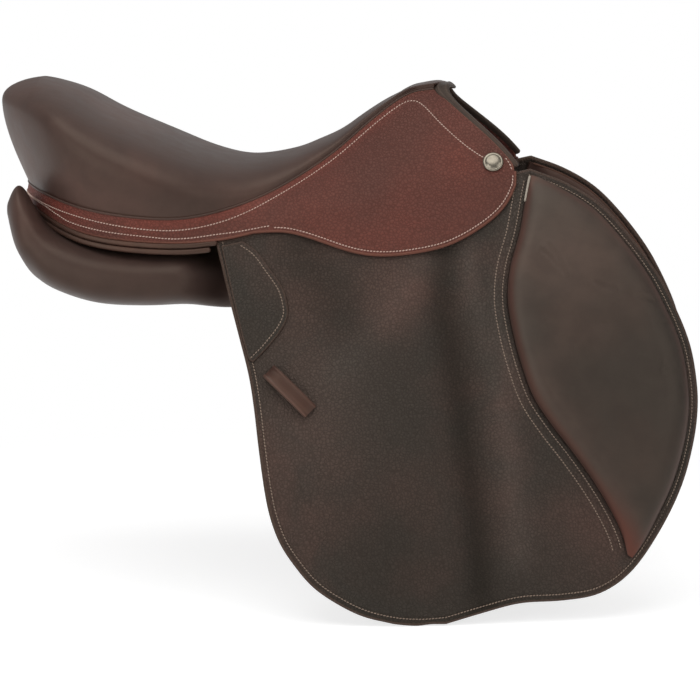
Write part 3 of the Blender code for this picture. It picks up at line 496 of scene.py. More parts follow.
def grainLeather(name, base, warm, cool, deep, edge, grain=3.0, raised=0.30, roughness=0.47):
    # Drum-dyed cowhide printed with a pebble grain: low pebbles about 3 mm across that catch the light as
    # specks between fine creases, which are darkened as painted shade. The dye runs warmer or greyer over a
    # hand's breadth, and the cut edges are lighter, partly burnished and partly a painted highlight. Scales
    # are in waves to the metre, so 190 is one in 5 mm, which bends the pebbles' rows, 520 is one in 2 mm, and
    # 9 and 14 are one in 110 and 70 mm.
    material, tree, shader = newMaterial(name, Specular_IOR_Level=0.27, Specular_Tint=linear("#ffe9d2"))
    spot = node(tree, "TexCoord").outputs["Object"]
    sway = node(tree, "TexNoise", {"Vector": spot, "Scale": 190.0, "Detail": 2.0}).outputs["Color"]
    drift = node(tree, "VectorMath", {0: sway, 1: (0.0024, 0.0024, 0.0024)}, operation="MULTIPLY")
    bent = node(tree, "VectorMath", {0: spot, 1: drift}, operation="ADD")
    creases = node(tree, "TexVoronoi", {"Vector": bent, "Scale": 1000 / grain}, feature="DISTANCE_TO_EDGE")
    domes = node(tree, "TexVoronoi", {"Vector": bent, "Scale": 1000 / grain}, feature="F1")
    pores = node(tree, "TexNoise", {"Vector": spot, "Scale": 1500.0, "Detail": 2.0})
    broad = node(tree, "TexNoise", {"Vector": spot, "Scale": 9.0, "Detail": 3.0})
    other = node(tree, "TexNoise", {"Vector": spot, "Scale": 14.0, "Detail": 3.0, "Distortion": 0.6})
    flecks = node(tree, "TexNoise", {"Vector": spot, "Scale": 520.0, "Detail": 2.0})
    flat = node(tree, "MapRange", {"Value": creases, "From Min": 0.0, "From Max": 0.24},
                interpolation_type="SMOOTHSTEP")
    dome = node(tree, "Math", {0: domes, 1: -0.55, 2: 0.55}, operation="MULTIPLY_ADD")
    height = node(tree, "Math", {0: flat, 1: 0.62, 2: dome}, operation="MULTIPLY_ADD")
    height = node(tree, "Math", {0: pores, 1: 0.16, 2: height}, operation="MULTIPLY_ADD")
    warmer = node(tree, "MapRange", {"Value": broad, "From Min": 0.42, "From Max": 0.70, "To Max": 0.55},
                  interpolation_type="SMOOTHSTEP")
    own = node(tree, "Attribute", attribute_name="warmth").outputs["Fac"]
    warmer = node(tree, "Math", {0: warmer, 1: own}, use_clamp=True)
    cooler = node(tree, "MapRange", {"Value": other, "From Min": 0.46, "From Max": 0.72, "To Max": 0.5},
                  interpolation_type="SMOOTHSTEP")
    # painted shade: the grain's creases go towards the deep colour
    sunk = node(tree, "MapRange", {"Value": flat, "To Min": 0.42, "To Max": 0.0})
    tone = linear(base)
    for share, colour in ((warmer, warm), (cooler, cool), (sunk, deep)):
        tone = node(tree, "Mix", {0: share, 6: tone, 7: linear(colour)}, data_type="RGBA")
    fleck = node(tree, "MapRange", {"Value": flecks, "From Min": 0.3, "From Max": 0.7,
                                    "To Min": 0.92, "To Max": 1.09})
    tone = node(tree, "VectorMath", {0: tone, "Scale": fleck}, operation="SCALE")
    gloss = node(tree, "MapRange", {"Value": flat, "To Min": roughness + 0.16, "To Max": roughness})
    relief = node(tree, "Bump", {"Height": height, "Strength": 1.0, "Distance": raised * mm})
    # cut edges lighter, partly burnished and partly a painted highlight
    connect(tree, shader, {"Base Color": marked(tree, shaded(tree, tone), "cutEdge", edge),
                           "Roughness": gloss, "Normal": relief})
    return material


def smoothLeather(name, base, warm, deep, edge="#3a2620", rubbed="#5c3029", roughness=0.40, coat=0.07,
                  holes=False):
    # Aniline-dyed calf, glazed by rolling: a close face with hair pores too fine to see singly, faint lines
    # where the hide has been pulled, cloudy dye, and a soft waxy sheen that breaks up where it is handled.
    # Rubbed places show the redder crust; punched holes are painted as dark discs, their depth shown as
    # painted shade. Pores lie 0.9 mm apart, handling marks 22 mm and the dye's clouds 125 mm.
    material, tree, shader = newMaterial(name, Specular_IOR_Level=0.27, Specular_Tint=linear("#ffe6cc"),
                                         Coat_Weight=coat, Coat_Roughness=0.42)
    spot = node(tree, "TexCoord").outputs["Object"]
    pores = node(tree, "TexVoronoi", {"Vector": spot, "Scale": 1100.0}, feature="F1")
    fine = node(tree, "TexNoise", {"Vector": spot, "Scale": 420.0, "Detail": 4.0, "Roughness": 0.6})
    drawn = node(tree, "Mapping", {"Vector": spot, "Rotation": (0.2, 0.5, 0.3), "Scale": (26, 70, 80)})
    pulled = node(tree, "TexNoise", {"Vector": drawn, "Scale": 1.0, "Detail": 3.0, "Distortion": 0.5})
    clouds = node(tree, "TexNoise", {"Vector": spot, "Scale": 8.0, "Detail": 3.0})
    handled = node(tree, "TexNoise", {"Vector": spot, "Scale": 45.0, "Detail": 3.0, "Roughness": 0.6})
    cloudy = node(tree, "MapRange", {"Value": clouds, "From Min": 0.40, "From Max": 0.64},
                  interpolation_type="SMOOTHSTEP")
    dark = node(tree, "MapRange", {"Value": handled, "From Min": 0.36, "From Max": 0.60,
                                   "To Min": 0.22, "To Max": 0.0})
    tone = node(tree, "Mix", {0: cloudy, 6: linear(base), 7: linear(warm)}, data_type="RGBA")
    tone = node(tree, "Mix", {0: dark, 6: tone, 7: linear(deep)}, data_type="RGBA")
    tone = marked(tree, shaded(tree, tone), "rub", rubbed)
    tone = marked(tree, tone, "cutEdge", edge)
    if holes:
        # punched holes: dark discs of painted shade
        tone = marked(tree, tone, "hole", "#0d0908")
    gloss = node(tree, "MapRange", {"Value": handled, "From Min": 0.3, "From Max": 0.75,
                                    "To Min": roughness - 0.03, "To Max": roughness + 0.07})
    face = node(tree, "Math", {0: pores, 1: 0.35, 2: fine}, operation="MULTIPLY_ADD")
    first = node(tree, "Bump", {"Height": face, "Strength": 1.0, "Distance": 0.05 * mm})
    second = node(tree, "Bump", {"Height": pulled, "Strength": 1.0, "Distance": 0.22 * mm, "Normal": first})
    connect(tree, shader, {"Base Color": tone, "Roughness": gloss, "Normal": second})
    return material


def waxedThread(name, light, dark):
    # Waxed linen thread from a stitching machine: a dull twisted cord, soiled at random in marks about 6 mm
    # long
    material, tree, shader = newMaterial(name, Roughness=0.62, Sheen_Weight=0.2)
    spot = node(tree, "TexCoord").outputs["Object"]
    soil = node(tree, "TexNoise", {"Vector": spot, "Scale": 160.0, "Detail": 3.0})
    tone = node(tree, "Mix", {0: soil, 6: linear(light), 7: linear(dark)}, data_type="RGBA")
    connect(tree, shader, {"Base Color": tone})
    return material


def forgedSteel(name, colour, dull, roughness, scratches):
    # Steel forged or rolled and then polished or plated: a grey mirror with fine scratches, about
    # 1 mm apart, and dull spots 5 mm across
    material, tree, shader = newMaterial(name, Metallic=1.0)
    spot = node(tree, "TexCoord").outputs["Object"]
    spots = node(tree, "TexNoise", {"Vector": spot, "Scale": 180.0, "Detail": 4.0, "Roughness": 0.6})
    drawn = node(tree, "Mapping", {"Vector": spot, "Scale": (60, 900, 900)})
    fine = node(tree, "TexNoise", {"Vector": drawn, "Scale": 1.0, "Detail": 3.0})
    tone = node(tree, "Mix", {0: spots, 6: linear(colour), 7: linear(dull)}, data_type="RGBA")
    gloss = node(tree, "MapRange", {"Value": spots, "From Min": 0.3, "From Max": 0.75,
                                    "To Min": roughness - 0.05, "To Max": roughness + 0.12})
    relief = node(tree, "Bump", {"Height": fine, "Strength": scratches, "Distance": 0.03 * mm})
    connect(tree, shader, {"Base Color": tone, "Roughness": gloss, "Normal": relief})
    return material


def laminatedBeech():
    # Beech veneers 1.5 mm thick, glued and sanded: pale pinkish wood in thin layers with short flecks
    material, tree, shader = newMaterial("laminated_beech_sanded", Roughness=0.55)
    spot = node(tree, "TexCoord").outputs["Object"]
    layers = node(tree, "TexWave", {"Vector": spot, "Scale": 105.0, "Distortion": 1.2, "Detail": 2.0},
                  bands_direction="Z").outputs["Fac"]
    drawn = node(tree, "Mapping", {"Vector": spot, "Scale": (130, 900, 900)})
    flecks = node(tree, "TexNoise", {"Vector": drawn, "Scale": 1.0, "Detail": 3.0})
    share = node(tree, "MapRange", {"Value": flecks, "From Min": 0.55, "From Max": 0.75,
                                    "To Min": 0.0, "To Max": 0.6})
    tone = node(tree, "Mix", {0: layers, 6: linear("#c9a37c"), 7: linear("#a97f58")}, data_type="RGBA")
    tone = node(tree, "Mix", {0: share, 6: tone, 7: linear("#7a5537")}, data_type="RGBA")
    relief = node(tree, "Bump", {"Height": flecks, "Strength": 0.6, "Distance": 0.1 * mm})
    connect(tree, shader, {"Base Color": tone, "Normal": relief})
    return material


def linenWebbing():
    # Linen web woven in a herringbone, ribs about 1.8 mm apart: matt, ribbed, a little soiled
    material, tree, shader = newMaterial("woven_linen_web", Roughness=0.85, Sheen_Weight=0.3)
    spot = node(tree, "TexCoord").outputs["Object"]
    along, over = [node(tree, "TexWave", {"Vector": spot, "Scale": 175.0, "Distortion": 0.4},
                        bands_direction=way).outputs["Fac"] for way in ("X", "DIAGONAL")]
    weave = node(tree, "Math", {0: along, 1: over}, operation="MAXIMUM")
    tone = node(tree, "Mix", {0: weave, 6: linear("#8f7c5c"), 7: linear("#cdbb98")}, data_type="RGBA")
    relief = node(tree, "Bump", {"Height": weave, "Strength": 0.8, "Distance": 0.3 * mm})
    connect(tree, shader, {"Base Color": tone, "Normal": relief})
    return material


def latexFoam():
    # Moulded latex foam, open pores about a millimetre wide: pale cream and quite matt
    material, tree, shader = newMaterial("moulded_latex_foam", Roughness=0.92)
    spot = node(tree, "TexCoord").outputs["Object"]
    cells = node(tree, "TexVoronoi", {"Vector": spot, "Scale": 900.0}, feature="F1")
    tone = node(tree, "Mix", {0: cells, 6: linear("#b5a582"), 7: linear("#ddd0b0")}, data_type="RGBA")
    relief = node(tree, "Bump", {"Height": cells, "Strength": 0.8, "Distance": 0.5 * mm})
    connect(tree, shader, {"Base Color": tone, "Normal": relief})
    return material


skirtGrain = grainLeather("red_brown_pebbled_cowhide", "#5a342e", "#6f3931", "#54332e", "#361b17", "#6f463b")
flapGrain = grainLeather("dark_brown_pebbled_cowhide", "#37322e", "#533f39", "#30312e", "#1b1614",
                         "#493a33", grain=2.9, raised=0.50)
calf = smoothLeather("glazed_dark_brown_calf", "#493934", "#513d37", "#2d201d", roughness=0.44, coat=0.05)
padCalf = smoothLeather("knee_pad_calf", "#3e3732", "#473b35", "#292321", edge="#17100e",
                        rubbed="#5a332b")
trimCalf = smoothLeather("folded_binding_calf", "#49352d", "#573a30", "#2a1d19", edge="#2a1f1b",
                         roughness=0.34, coat=0.15)
bindingCalf = smoothLeather("dark_arch_binding_calf", "#39302b", "#433731", "#221a17", roughness=0.46,
                            coat=0.0)
# light grey leather whose colour is a painted highlight on the seam tab
seamTabHighlight = smoothLeather("seam_tab_painted_highlight_leather", "#a1988c", "#b0a698", "#7d756b", roughness=0.55,
                        coat=0.0)
strapLeather = smoothLeather("curried_bridle_leather", "#3b2c26", "#47332b", "#231915", edge="#20160f",
                             roughness=0.36, holes=True)
paleThread = waxedThread("cream_waxed_thread", "#d8bfb0", "#b08f80")
darkThread = waxedThread("tan_waxed_thread", "#9c8673", "#6f5c4e")
forged = forgedSteel("polished_forged_steel", "#b9babd", "#8b8d92", 0.26, 0.5)
plated = forgedSteel("nickel_plated_steel", "#9d9586", "#6e675c", 0.27, 0.25)
beech, linen, latex = laminatedBeech(), linenWebbing(), latexFoam()
print("materials made")


# Stitching

thread = dict(pitch=2.9, length=2.15, radius=0.52, slant=0.12, sides=6)


def oneStitch():
    # a short rod along x whose ends sink into the leather
    length, radius, sides = thread["length"], thread["radius"], thread["sides"]
    s = np.array([-0.5, -0.36, 0.0, 0.36, 0.5]) * length
    r = np.array([0.45, 0.9, 1.0, 0.9, 0.45]) * radius
    sink = np.array([-0.55, -0.12, 0.1, -0.12, -0.55]) * radius
    g = 2 * math.pi * np.arange(sides) / sides
    rings = np.stack([np.repeat(s[:, None], sides, 1), r[:, None] * np.cos(g),
                      r[:, None] * np.sin(g) + sink[:, None]], -1)
    ids = np.arange(len(s) * sides).reshape(len(s), sides)
    a, b = ids[:-1], ids[1:]
    quads = np.stack([a, np.roll(a, -1, 1), np.roll(b, -1, 1), b], -1).reshape(-1, 4)
    caps = np.array([[e[0], e[k], e[k + 1]] for e in (ids[0][::-1], ids[-1]) for k in range(1, sides - 1)])
    return rings.reshape(-1, 3), outwards(rings.reshape(-1, 3), [quads, caps])


def stitches(name, rows, material, body):
    # lays one stitch after another along rows of (path, normals), all in one mesh
    base, faces = oneStitch()
    points, copies, start = [], [[], []], 0
    for path, up in rows:
        spots, lift = evenly(path, thread["pitch"], up)
        ahead = unit(np.gradient(spots, axis=0))
        lift = unit(lift - ahead * (lift * ahead).sum(1, keepdims=True))
        across = np.cross(lift, ahead)
        ahead = ahead + across * thread["slant"]
        placed = (spots[:, None] + ahead[:, None] * base[None, :, :1]
                  + across[:, None] * base[None, :, 1:2] + lift[:, None] * base[None, :, 2:])
        points.append(placed.reshape(-1, 3))
        shift = start + np.arange(len(spots))[:, None, None] * len(base)
        for pile, kind in zip(copies, faces):
            pile.append((kind[None] + shift).reshape(-1, kind.shape[1]))
        start += len(spots) * len(base)
    made = newMesh(name, np.vstack(points), [np.vstack(pile) for pile in copies], material, None, 80)
    return fit(made, body)


def onSkirt(t, v, side, lift=0.0):
    # a path on the skirt's outer face with its normals, for stitches and nails
    step = 0.004
    p = skirtAt(t, v)
    along = skirtAt(np.minimum(t + step, 1), v) - skirtAt(np.maximum(t - step, 0), v)
    n = unit(np.cross(skirtAt(t, v + step) - skirtAt(t, v - step), along))
    n *= np.where((n * (p - np.array((0, 0, 20)))).sum(-1, keepdims=True) < 0, -1, 1)
    return mirrored(p + n * lift, side), mirrored(n, side)


def insetLine(path, gap):
    # a line moved sideways in the side plane by gap, to its left as it runs
    step = unit(np.gradient(path, axis=0))
    return path + np.stack([-step[:, 1], step[:, 0]], 1) * gap


# Seat

seat = dict(rows=171, columns=171, hem=1.3, thickness=2.3, skived=1.1, noseCut=0.8, rounding=26,
            middle=(-20, 0, 60), piping=2.4)
foam = dict(rows=61, depth=10.0, thin=1.2, sunk=5.2, rounding=10, start=0.05)


def noseCut(t, q):
    # how far the leather over the pommel is drawn back of the arch, most on the middle line
    return seat["noseCut"] * bell(t, 0.05) * (1 - smoothStep(q / 0.55))


def roundedAcross(grid, reach, t):
    # Behind the pommel each row is averaged along itself by a bell that reaches so many columns,
    # less so at the cantle, then raised so that the middle line keeps its height; the ends stay.
    share = smoothStep((t - 0.12) / 0.3) * (1 - 0.6 * smoothStep((t - 0.8) / 0.15))
    weights = np.hanning(2 * reach + 3)[1:-1]
    padded = np.pad(grid, ((0, 0), (reach, reach), (0, 0)), "reflect", reflect_type="odd")
    soft = sum(w * padded[:, k:k + grid.shape[1]] for k, w in enumerate(weights / weights.sum()))
    middle = grid.shape[1] // 2
    lost = grid[:, middle, 2] - soft[:, middle, 2]
    soft[..., 2] += lost[:, None] * (1 - np.linspace(-1, 1, grid.shape[1]) ** 2)
    return mixed(grid, soft, share[:, :, None])


def seatNormals(face):
    # normals away from the seat's middle; in the last row, where the seat meets itself behind the
    # cantle, they stay in the middle plane
    n = normals(face, seat["middle"])
    n[-1, :, 1] = 0
    middle = face.shape[1] // 2
    n[-1, middle] = n[-1, middle + 1]
    return unit(n)


def makeSeatCover():
    # the seat surface from welt to welt, with a wall that is skived thin over the pommel's side
    t = crowded(seat["rows"], 0.5)[:, None]
    s = np.linspace(-1, 1, seat["columns"])[None, :]
    rise = mixed(seatEdge["frontRise"], seatEdge["rearRise"], swellAt(t))
    q = np.abs(s) * (1 - seat["hem"] / rise * (1 - seatEdge["topShare"]))
    outer = bothSides(seatAt(t + 0 * s, q), s)
    outer[..., 0] -= noseCut(t, q)
    outer = roundedAcross(outer, seat["rounding"], t)
    thin = smoothStep((q - 0.6) / 0.15) * (1 - smoothStep((t - 0.3) / 0.2))
    inner = outer - seatNormals(outer) * mixed(seat["thickness"], seat["skived"], thin)[..., None]
    shade = (0.34 * bell(q - 0.92, 0.07) * bell(t - 0.86, 0.10)          # painted highlight along the cantle's side
             + 0.16 * bell(q - 0.93, 0.06) * bell(t - 0.45, 0.1)         # and a painted highlight beside the skirt
             - 0.22 * bell(q - 0.8, 0.12) * bell(t - 0.66, 0.12)         # painted shade under the waist
             - 0.30 * bell(q, 0.4) * bell(t - 0.42, 0.22)                # and painted shade on the twist
             + 0.12 * bell(q, 0.6) * bell(t - 0.8, 0.16))                # painted light on the cantle's slope
    cover = sheet("seatCover", outer, inner, calf, welded=True, attributes={"shade": shade})
    fit(cover, "tree_body", ["seat_cover"])


def makeSeatPiping():
    left = at(weltLine, np.linspace(0, 1, 200))
    path = np.vstack([left, mirrored(left[-2::-1], -1)])
    section = roundedSection(seat["piping"], seat["piping"], 2.0, 10)
    piping = skin("seatPiping", roundedEnds(path, path - np.array(seat["middle"]), section, 1.2), calf)
    fit(piping, "tree_body", ["seat_welt"])


def makeSeatFoam():
    # the seat surface again, sunk below the leather and deepest on the top
    t = np.linspace(foam["start"], 1, foam["rows"])[:, None]
    s = np.linspace(-1, 1, foam["rows"])[None, :]
    q = np.abs(s) * mixed(0.5, 0.86, smoothStep((t - 0.35) / 0.25))
    face = roundedAcross(bothSides(seatAt(t + 0 * s, q), s), foam["rounding"], t)
    n = seatNormals(face)
    thin = smoothStep((q - 0.35) / 0.2) * (1 - smoothStep((t - 0.4) / 0.25))
    full = smoothStep(np.minimum(1 - thin, (t - 0.02) / 0.16))
    depth = foam["sunk"] + mixed(foam["thin"], foam["depth"], full)
    made = sheet("seatFoam", face - n * foam["sunk"], face - n * depth[..., None], latex, welded=True)
    fit(made, "tree_body", ["seat_foam"])


makeSeatCover()
makeSeatPiping()
makeSeatFoam()
print("seat made")


# Skirts, cantle band and lobes

skirt = dict(
    rows=341, columns=41, thickness=3.5, topGap=1.2, noseBulge=5.0, corner=0.012,
    lobeRows=121, lobeColumns=31, lobeStitchGap=2.1, stitchLift=0.1,
    lobe=((17, 0.1), (34, 2.8), (51, 7.6), (74, 19), (97, 32), (119, 42), (142, 48), (164, 50.5), (186, 51),
          (204, 48), (221, 42), (236, 34), (246, 24), (252, 12)),
    lobeFront=((252.3, 8), (252.5, 4), (252.6, 0)),
    upperRow=((1.0, 9), (0.93, 9.5), (0.88, 9.5), (0.80, 9), (0.72, 10.3), (0.63, 11), (0.56, 11),
              (0.50, 9.2), (0.45, 7.6), (0.38, 6.8), (0.30, 6.4), (0.22, 6.2), (0.16, 6.2), (0.122, 7.5),
              (0.098, 13), (0.090, 24), (0.088, 40), (0.083, 58), (0.076, 74), (0.066, 88), (0.056, 98)),
    lowerRow=((1.0, 9.6), (0.93, 10.4), (0.885, 11.5), (0.85, 14), (0.82, 16.4), (0.76, 17.2), (0.70, 17),
              (0.66, 18.4), (0.61, 20), (0.57, 22), (0.53, 26), (0.502, 30.0), (0.488, 33.0)),
)


def noseBulge(t, v):
    # how far the skirt's front edge bows forward of the straight arch, most of the way down
    return skirt["noseBulge"] * np.sin(math.pi * np.clip(v, 0, 1) ** 1.6) * bell(t, 0.035)


def skirtDepth(t):
    return np.linalg.norm(skirtAt(t, 1.0) - skirtAt(t, 0.0), axis=-1)


def rowOn(points, side):
    # a stitch row through pairs of (t, gap below the welt in mm) on the skirt and band
    t, gap = curveThrough(points, 900, 0.006).T
    v = gap / skirtDepth(t)
    row, up = onSkirt(t, np.clip(v, 0.02, 1), side, skirt["stitchLift"])
    row[:, 0] += noseBulge(t, v)
    return row, up


def makeSkirtAndBand():
    # the skirt surface in one run over both sides, its rows crowded where it turns at the cantle
    s = (np.sin(np.linspace(-1, 1, skirt["rows"]) * 1.25) / math.sin(1.25))[:, None]
    t = 1 - np.abs(s)
    height = skirtDepth(t)
    low = mixed(1.0, 0.975, smoothStep((t - 0.53) / 0.08))
    v = mixed(skirt["topGap"] / height, low, crowded(skirt["columns"], 0.75)[None, :])
    corner = skirt["corner"] * smoothStep((v - 0.86) / 0.14) ** 2 * bell(t, 0.02)
    outer = bothSides(skirtAt(t + corner, v), s)
    outer[..., 0] += noseBulge(t, v)
    inner = outer - normals(outer) * skirt["thickness"]
    round = np.ones(outer.shape[:2])
    round[:, -1] = smoothStep((t[:, 0] - 0.49) / 0.03)       # a flat wall where the lobe goes on
    gap = v * height
    warmth = (0.75 * bell(gap - 2, 9) * smoothStep((t - 0.1) / 0.1)
              + 0.4 * bell(t - 0.09, 0.05) * bell(v - 0.8, 0.25))
    # painted light near the welt and on the cantle band, painted shade along the band's lower edge
    shade = (0.12 * bell(gap - 3, 6) + 0.16 * smoothStep((t - 0.55) / 0.1)
             - 0.15 * bell((1 - v) * height, 5) * (t > 0.5))
    piece = sheet("skirtAndBand", outer, inner, skirtGrain, round=round,
                  attributes={"warmth": warmth, "shade": shade})
    fit(piece, "tree_body", ["skirt_yoke_L", "skirt_yoke_R", "cantle_band"])


def makeLobe(side, letter):
    # the flank surface from the hinge line down to the lobe's own line
    lobe = curveThrough(skirt["lobe"], 501, 0.02)
    edge = at(lobe, crowded(skirt["lobeRows"], 0.7))
    drop = mixed(0.05, edge[:, 1:], crowded(skirt["lobeColumns"], 0.75)[None, :])
    x = edge[:, :1] + 0 * drop
    round = np.ones(x.shape)
    round[:, 0] = 0
    piece = flankSheet("skirtLobe" + letter, np.stack([x, hingeZ(x) - drop], -1), 0.0, -skirt["thickness"],
                       side, skirtGrain, round=round)
    fit(piece, "lobe_body_" + letter, ["skirt_lobe_" + letter])
    hem = np.vstack([lobe, skirt["lobeFront"]])
    line = insetLine(np.stack([hem[:, 0], hingeZ(hem[:, 0]) - hem[:, 1]], 1), skirt["lobeStitchGap"])
    line = line[line[:, 1] < hingeZ(line[:, 0]) - 0.9]
    rows = [flankRow(line, skirt["stitchLift"], side)]
    stitches("lobeStitches" + letter, rows, paleThread, "lobe_body_" + letter)


def makeSkirtStitches():
    rows = []
    for side in (1, -1):
        rows += [rowOn(skirt["upperRow"], side), rowOn(skirt["lowerRow"], side)]
        v = np.linspace(0.84, 0.984, 60)
        t = 0.0065 + 0.007 * smoothStep((v - 0.86) / 0.14) ** 2
        row, up = onSkirt(t, v, side, skirt["stitchLift"])
        row[:, 0] += noseBulge(t, v)
        rows.append((row, up))
    stitches("skirtStitches", rows, paleThread, "tree_body")


# Strips under the band, binding of the pommel arch, and nail heads

strip = dict(width=7.0, height=5.2, below=3.5, pitch=5.5, start=0.5676, step=0.012)
binding = dict(width=8.6, thickness=3.6, sunk=1.9, ahead=4.3, bead=2.2)
nail = dict(t=0.042, v=0.87, sunk=-0.3,
            radius=(0.4, 1.5, 3, 4.5, 5.8, 6.7, 7.1, 7.5, 7.9, 8.4, 9.0, 9.35, 9.4, 9.3, 4.0),
            height=(4.2, 4.17, 4.05, 3.8, 3.45, 3.05, 2.7, 2.55, 2.6, 2.55, 2.2, 1.6, 1.0, 0.0, 0.0))


def makeStrips():
    # the two folded strips carried along the rim under the cantle band, one below the other
    up = np.array((0.0, 0.0, 1.0))
    section = roundedSection(strip["width"], strip["height"], 2.6, 28)
    for order, (name, solid) in enumerate((("foldedStripUpper", "rear_strip_upper"),
                                           ("foldedStripLower", "rear_strip_lower"))):
        half = skirtAt(np.linspace(1.0, strip["start"] + strip["step"] * order, 160), 1.0)
        half[:, 2] -= strip["below"] + order * strip["pitch"]
        path = np.vstack([mirrored(half[:0:-1], -1), half])
        out = unit((path - np.array((-60.0, 0, 0))) * np.array((1, 1, 0)))
        piece = skin(name, roundedEnds(path - out * strip["width"] / 2, up, section, 3.0), trimCalf)
        fit(piece, "tree_body", [solid])


def makeBinding():
    # The strip that binds the front of the pommel arch: a flat section with two raised beads, carried
    # down the arch from seat to rim and held ahead of it; it is widest on top and at the corners.
    q, v = np.linspace(0, 0.7, 60), np.linspace(0.08, 0.965, 80)
    half = np.vstack([seatAt(0.0, q), skirtAt(0.0, v)])
    behind = np.vstack([seatAt(0.02, q), skirtAt(0.02, v)])
    for line in (half, behind):
        line[:60, 0] -= noseCut(0.0, q)
        line[60:, 0] += noseBulge(0.0, v)
    forward = unit(half - behind)
    forward[0, 1] = 0
    path = np.vstack([mirrored(half[:0:-1], -1), half])
    forward = unit(np.vstack([mirrored(forward[:0:-1], -1), forward]))
    path, forward = evenly(path, 2.0, forward)
    path, forward = softened(path, 13), unit(softened(forward, 13))
    normal = unit(np.cross(np.gradient(path, axis=0), forward))
    normal *= np.sign(normal[len(normal) // 2, 2])
    section = roundedSection(binding["width"], binding["thickness"], 2.8, 48)
    beads = np.abs(section[:, 0]) - binding["bead"]
    section[:, 1] += np.where(section[:, 1] > 0.4, 0.7 * bell(beads, 0.7), 0)
    # painted highlights along the tops of the two beads
    lit = np.where(section[:, 1] > 0.4, 0.95 * bell(beads, 0.8), 0)
    s = np.linspace(-1, 1, len(path))
    corner = bell(np.abs(s) - 0.22, 0.09)
    wide = 0.72 + 0.55 * bell(s, 0.5) + 0.5 * corner
    ahead = binding["ahead"] * wide - 0.6 - 2.8 * corner
    line = path + forward * ahead[:, None] - normal * binding["sunk"]
    rings = roundedEnds(line, normal, section, 2.4, wide)
    shade = np.repeat(lit[None], len(rings), 0)
    piece = skin("pommelBinding", rings, bindingCalf, attributes={"shade": shade})
    fit(piece, "tree_body", ["pommel_facing"])


def makeNail(side, letter):
    # a profile of radius and height turned about the skirt's normal: a domed crown in a bevelled rim
    g = 2 * math.pi * np.arange(48) / 48
    spot, n = onSkirt(np.array([nail["t"]]), np.array([nail["v"]]), side, nail["sunk"])
    n = n[0]
    a = unit(np.cross(n, (0, 0, 1.0)))
    b = np.cross(n, a)
    turn = a[None] * np.cos(g)[:, None] + b[None] * np.sin(g)[:, None]
    radius, height = [np.array(nail[key])[:, None, None] for key in ("radius", "height")]
    piece = skin("nailHead" + letter, spot[0] + radius * turn[None] + height * n, plated, sharp=35)
    fit(piece, "tree_body", ["nail_head_" + letter])


makeSkirtAndBand()
for side, letter in sides:
    makeLobe(side, letter)
makeSkirtStitches()
makeStrips()
makeBinding()
for side, letter in sides:
    makeNail(side, letter)
print("skirts made")


# Flaps, with what is sewn on them

flapLines = dict(
    rear=((-15, 61), (-1, 12), (8, -18), (18, -52), (24, -82), (29, -115), (35, -151), (41, -176),
          (50, -198), (63, -217), (79, -235), (99, -249), (123, -261), (150, -268)),
    front=((266, 125), (298, 113), (329, 94), (357, 65), (381, 33), (398, 2), (411, -30), (417, -62),
           (418, -88), (414, -118), (404, -154), (386, -191), (361, -227), (333, -246), (300, -251),
           (262, -252), (228, -260), (196, -269)),
    kneeRear=((266, 121), (263, 105), (257, 70), (249, 40), (247, 12), (252, -17), (260, -45), (271, -73),
              (288, -98), (307, -122), (327, -150), (342, -175), (352, -196), (357, -214)),
    kneeFront=((273, 119), (296, 108), (325, 90), (352, 61), (375, 30), (391, 0), (404, -31), (410, -63),
               (411, -88), (407, -117), (397, -151), (383, -181), (371, -203), (361, -217)),
    patchRear=((-11, 57), (2, 10), (10, -18), (17, -40)),
    patchFront=((7, 61), (20, 52), (33, 36), (44, 21), (49, 6), (49, -4), (43, -16), (31, -31), (20, -42)),
    sweatRear=((8, 34), (14, -20), (24, -75), (33, -125), (44, -170), (62, -205), (90, -230), (125, -246)),
    sweatFront=((268, 86), (303, 86), (337, 71), (366, 46), (388, 14), (400, -18), (402, -55), (396, -102),
                (378, -150), (346, -198), (302, -228), (245, -242), (185, -250)),
    kneeBlockRear=((318, 52), (322, 20), (330, -20), (336, -60), (334, -96)),
    kneeBlockFront=((334, 48), (352, 16), (366, -20), (372, -60), (362, -96)),
    thighBlockRear=((28, -72), (33, -98), (38, -126), (45, -152)),
    thighBlockFront=((40, -68), (49, -95), (52, -124), (53, -150)),
)
flapLines["foot"] = flapLines["rear"] + ((173, -270), (195, -269))
flap = dict(rows=141, columns=131, thickness=4.5, stitchGap=4.0, valleyDepth=4.4, ridgeHeight=3.5,
            bow=6.4, patch=2.0)

# The flap's stitch rows: the edge that each follows, its gap to the left of it, how high it lies
# over the flap's face, and the shares of the edge between which it is sewn
flapRows = (("foot", 4.0, 0.05, 0, 1), ("front", -4.0, 0.7, 0, 0.62), ("front", -4.0, 0.05, 0.62, 1),
            ("kneeRear", -4.2, 0.05, 0.03, 0.97), ("kneeRear", -11.5, 0.05, 0.06, 0.97),
            ("patchFront", -3.2, 2.05, 0, 1))
folds = dict(
    valley=((191, 50), (190, 8), (200, -38), (211, -101), (221, -173), (227, -228), (229, -262)),
    ridge=((212, 42), (221, 8), (237, -38), (248, -101), (257, -173), (261, -213)),
    slope=((177, 45), (151, 11), (125, -19), (99, -49)),
    hollow=((60, 54), (88, 11), (102, -15)),
)


def edgeCurve(name, count):
    return curveThrough(flapLines[name], count, 0.008)


def between(piece, v, u):
    # the grid ruled between a piece's two edges, v down them and u from the rear one to the front one
    a, b = at(edgeCurve(piece[0], 601), v), at(edgeCurve(piece[1], 601), v)
    return mixed(a[:, None], b[:, None], u[None, :, None])


def edgeGap(xz, piece):
    # distance of each point to the whole outline of a piece
    a, b = edgeCurve(piece[0], 240), edgeCurve(piece[1], 240)
    return distanceTo(xz, np.vstack([a, b[::-1], a[:1]]))


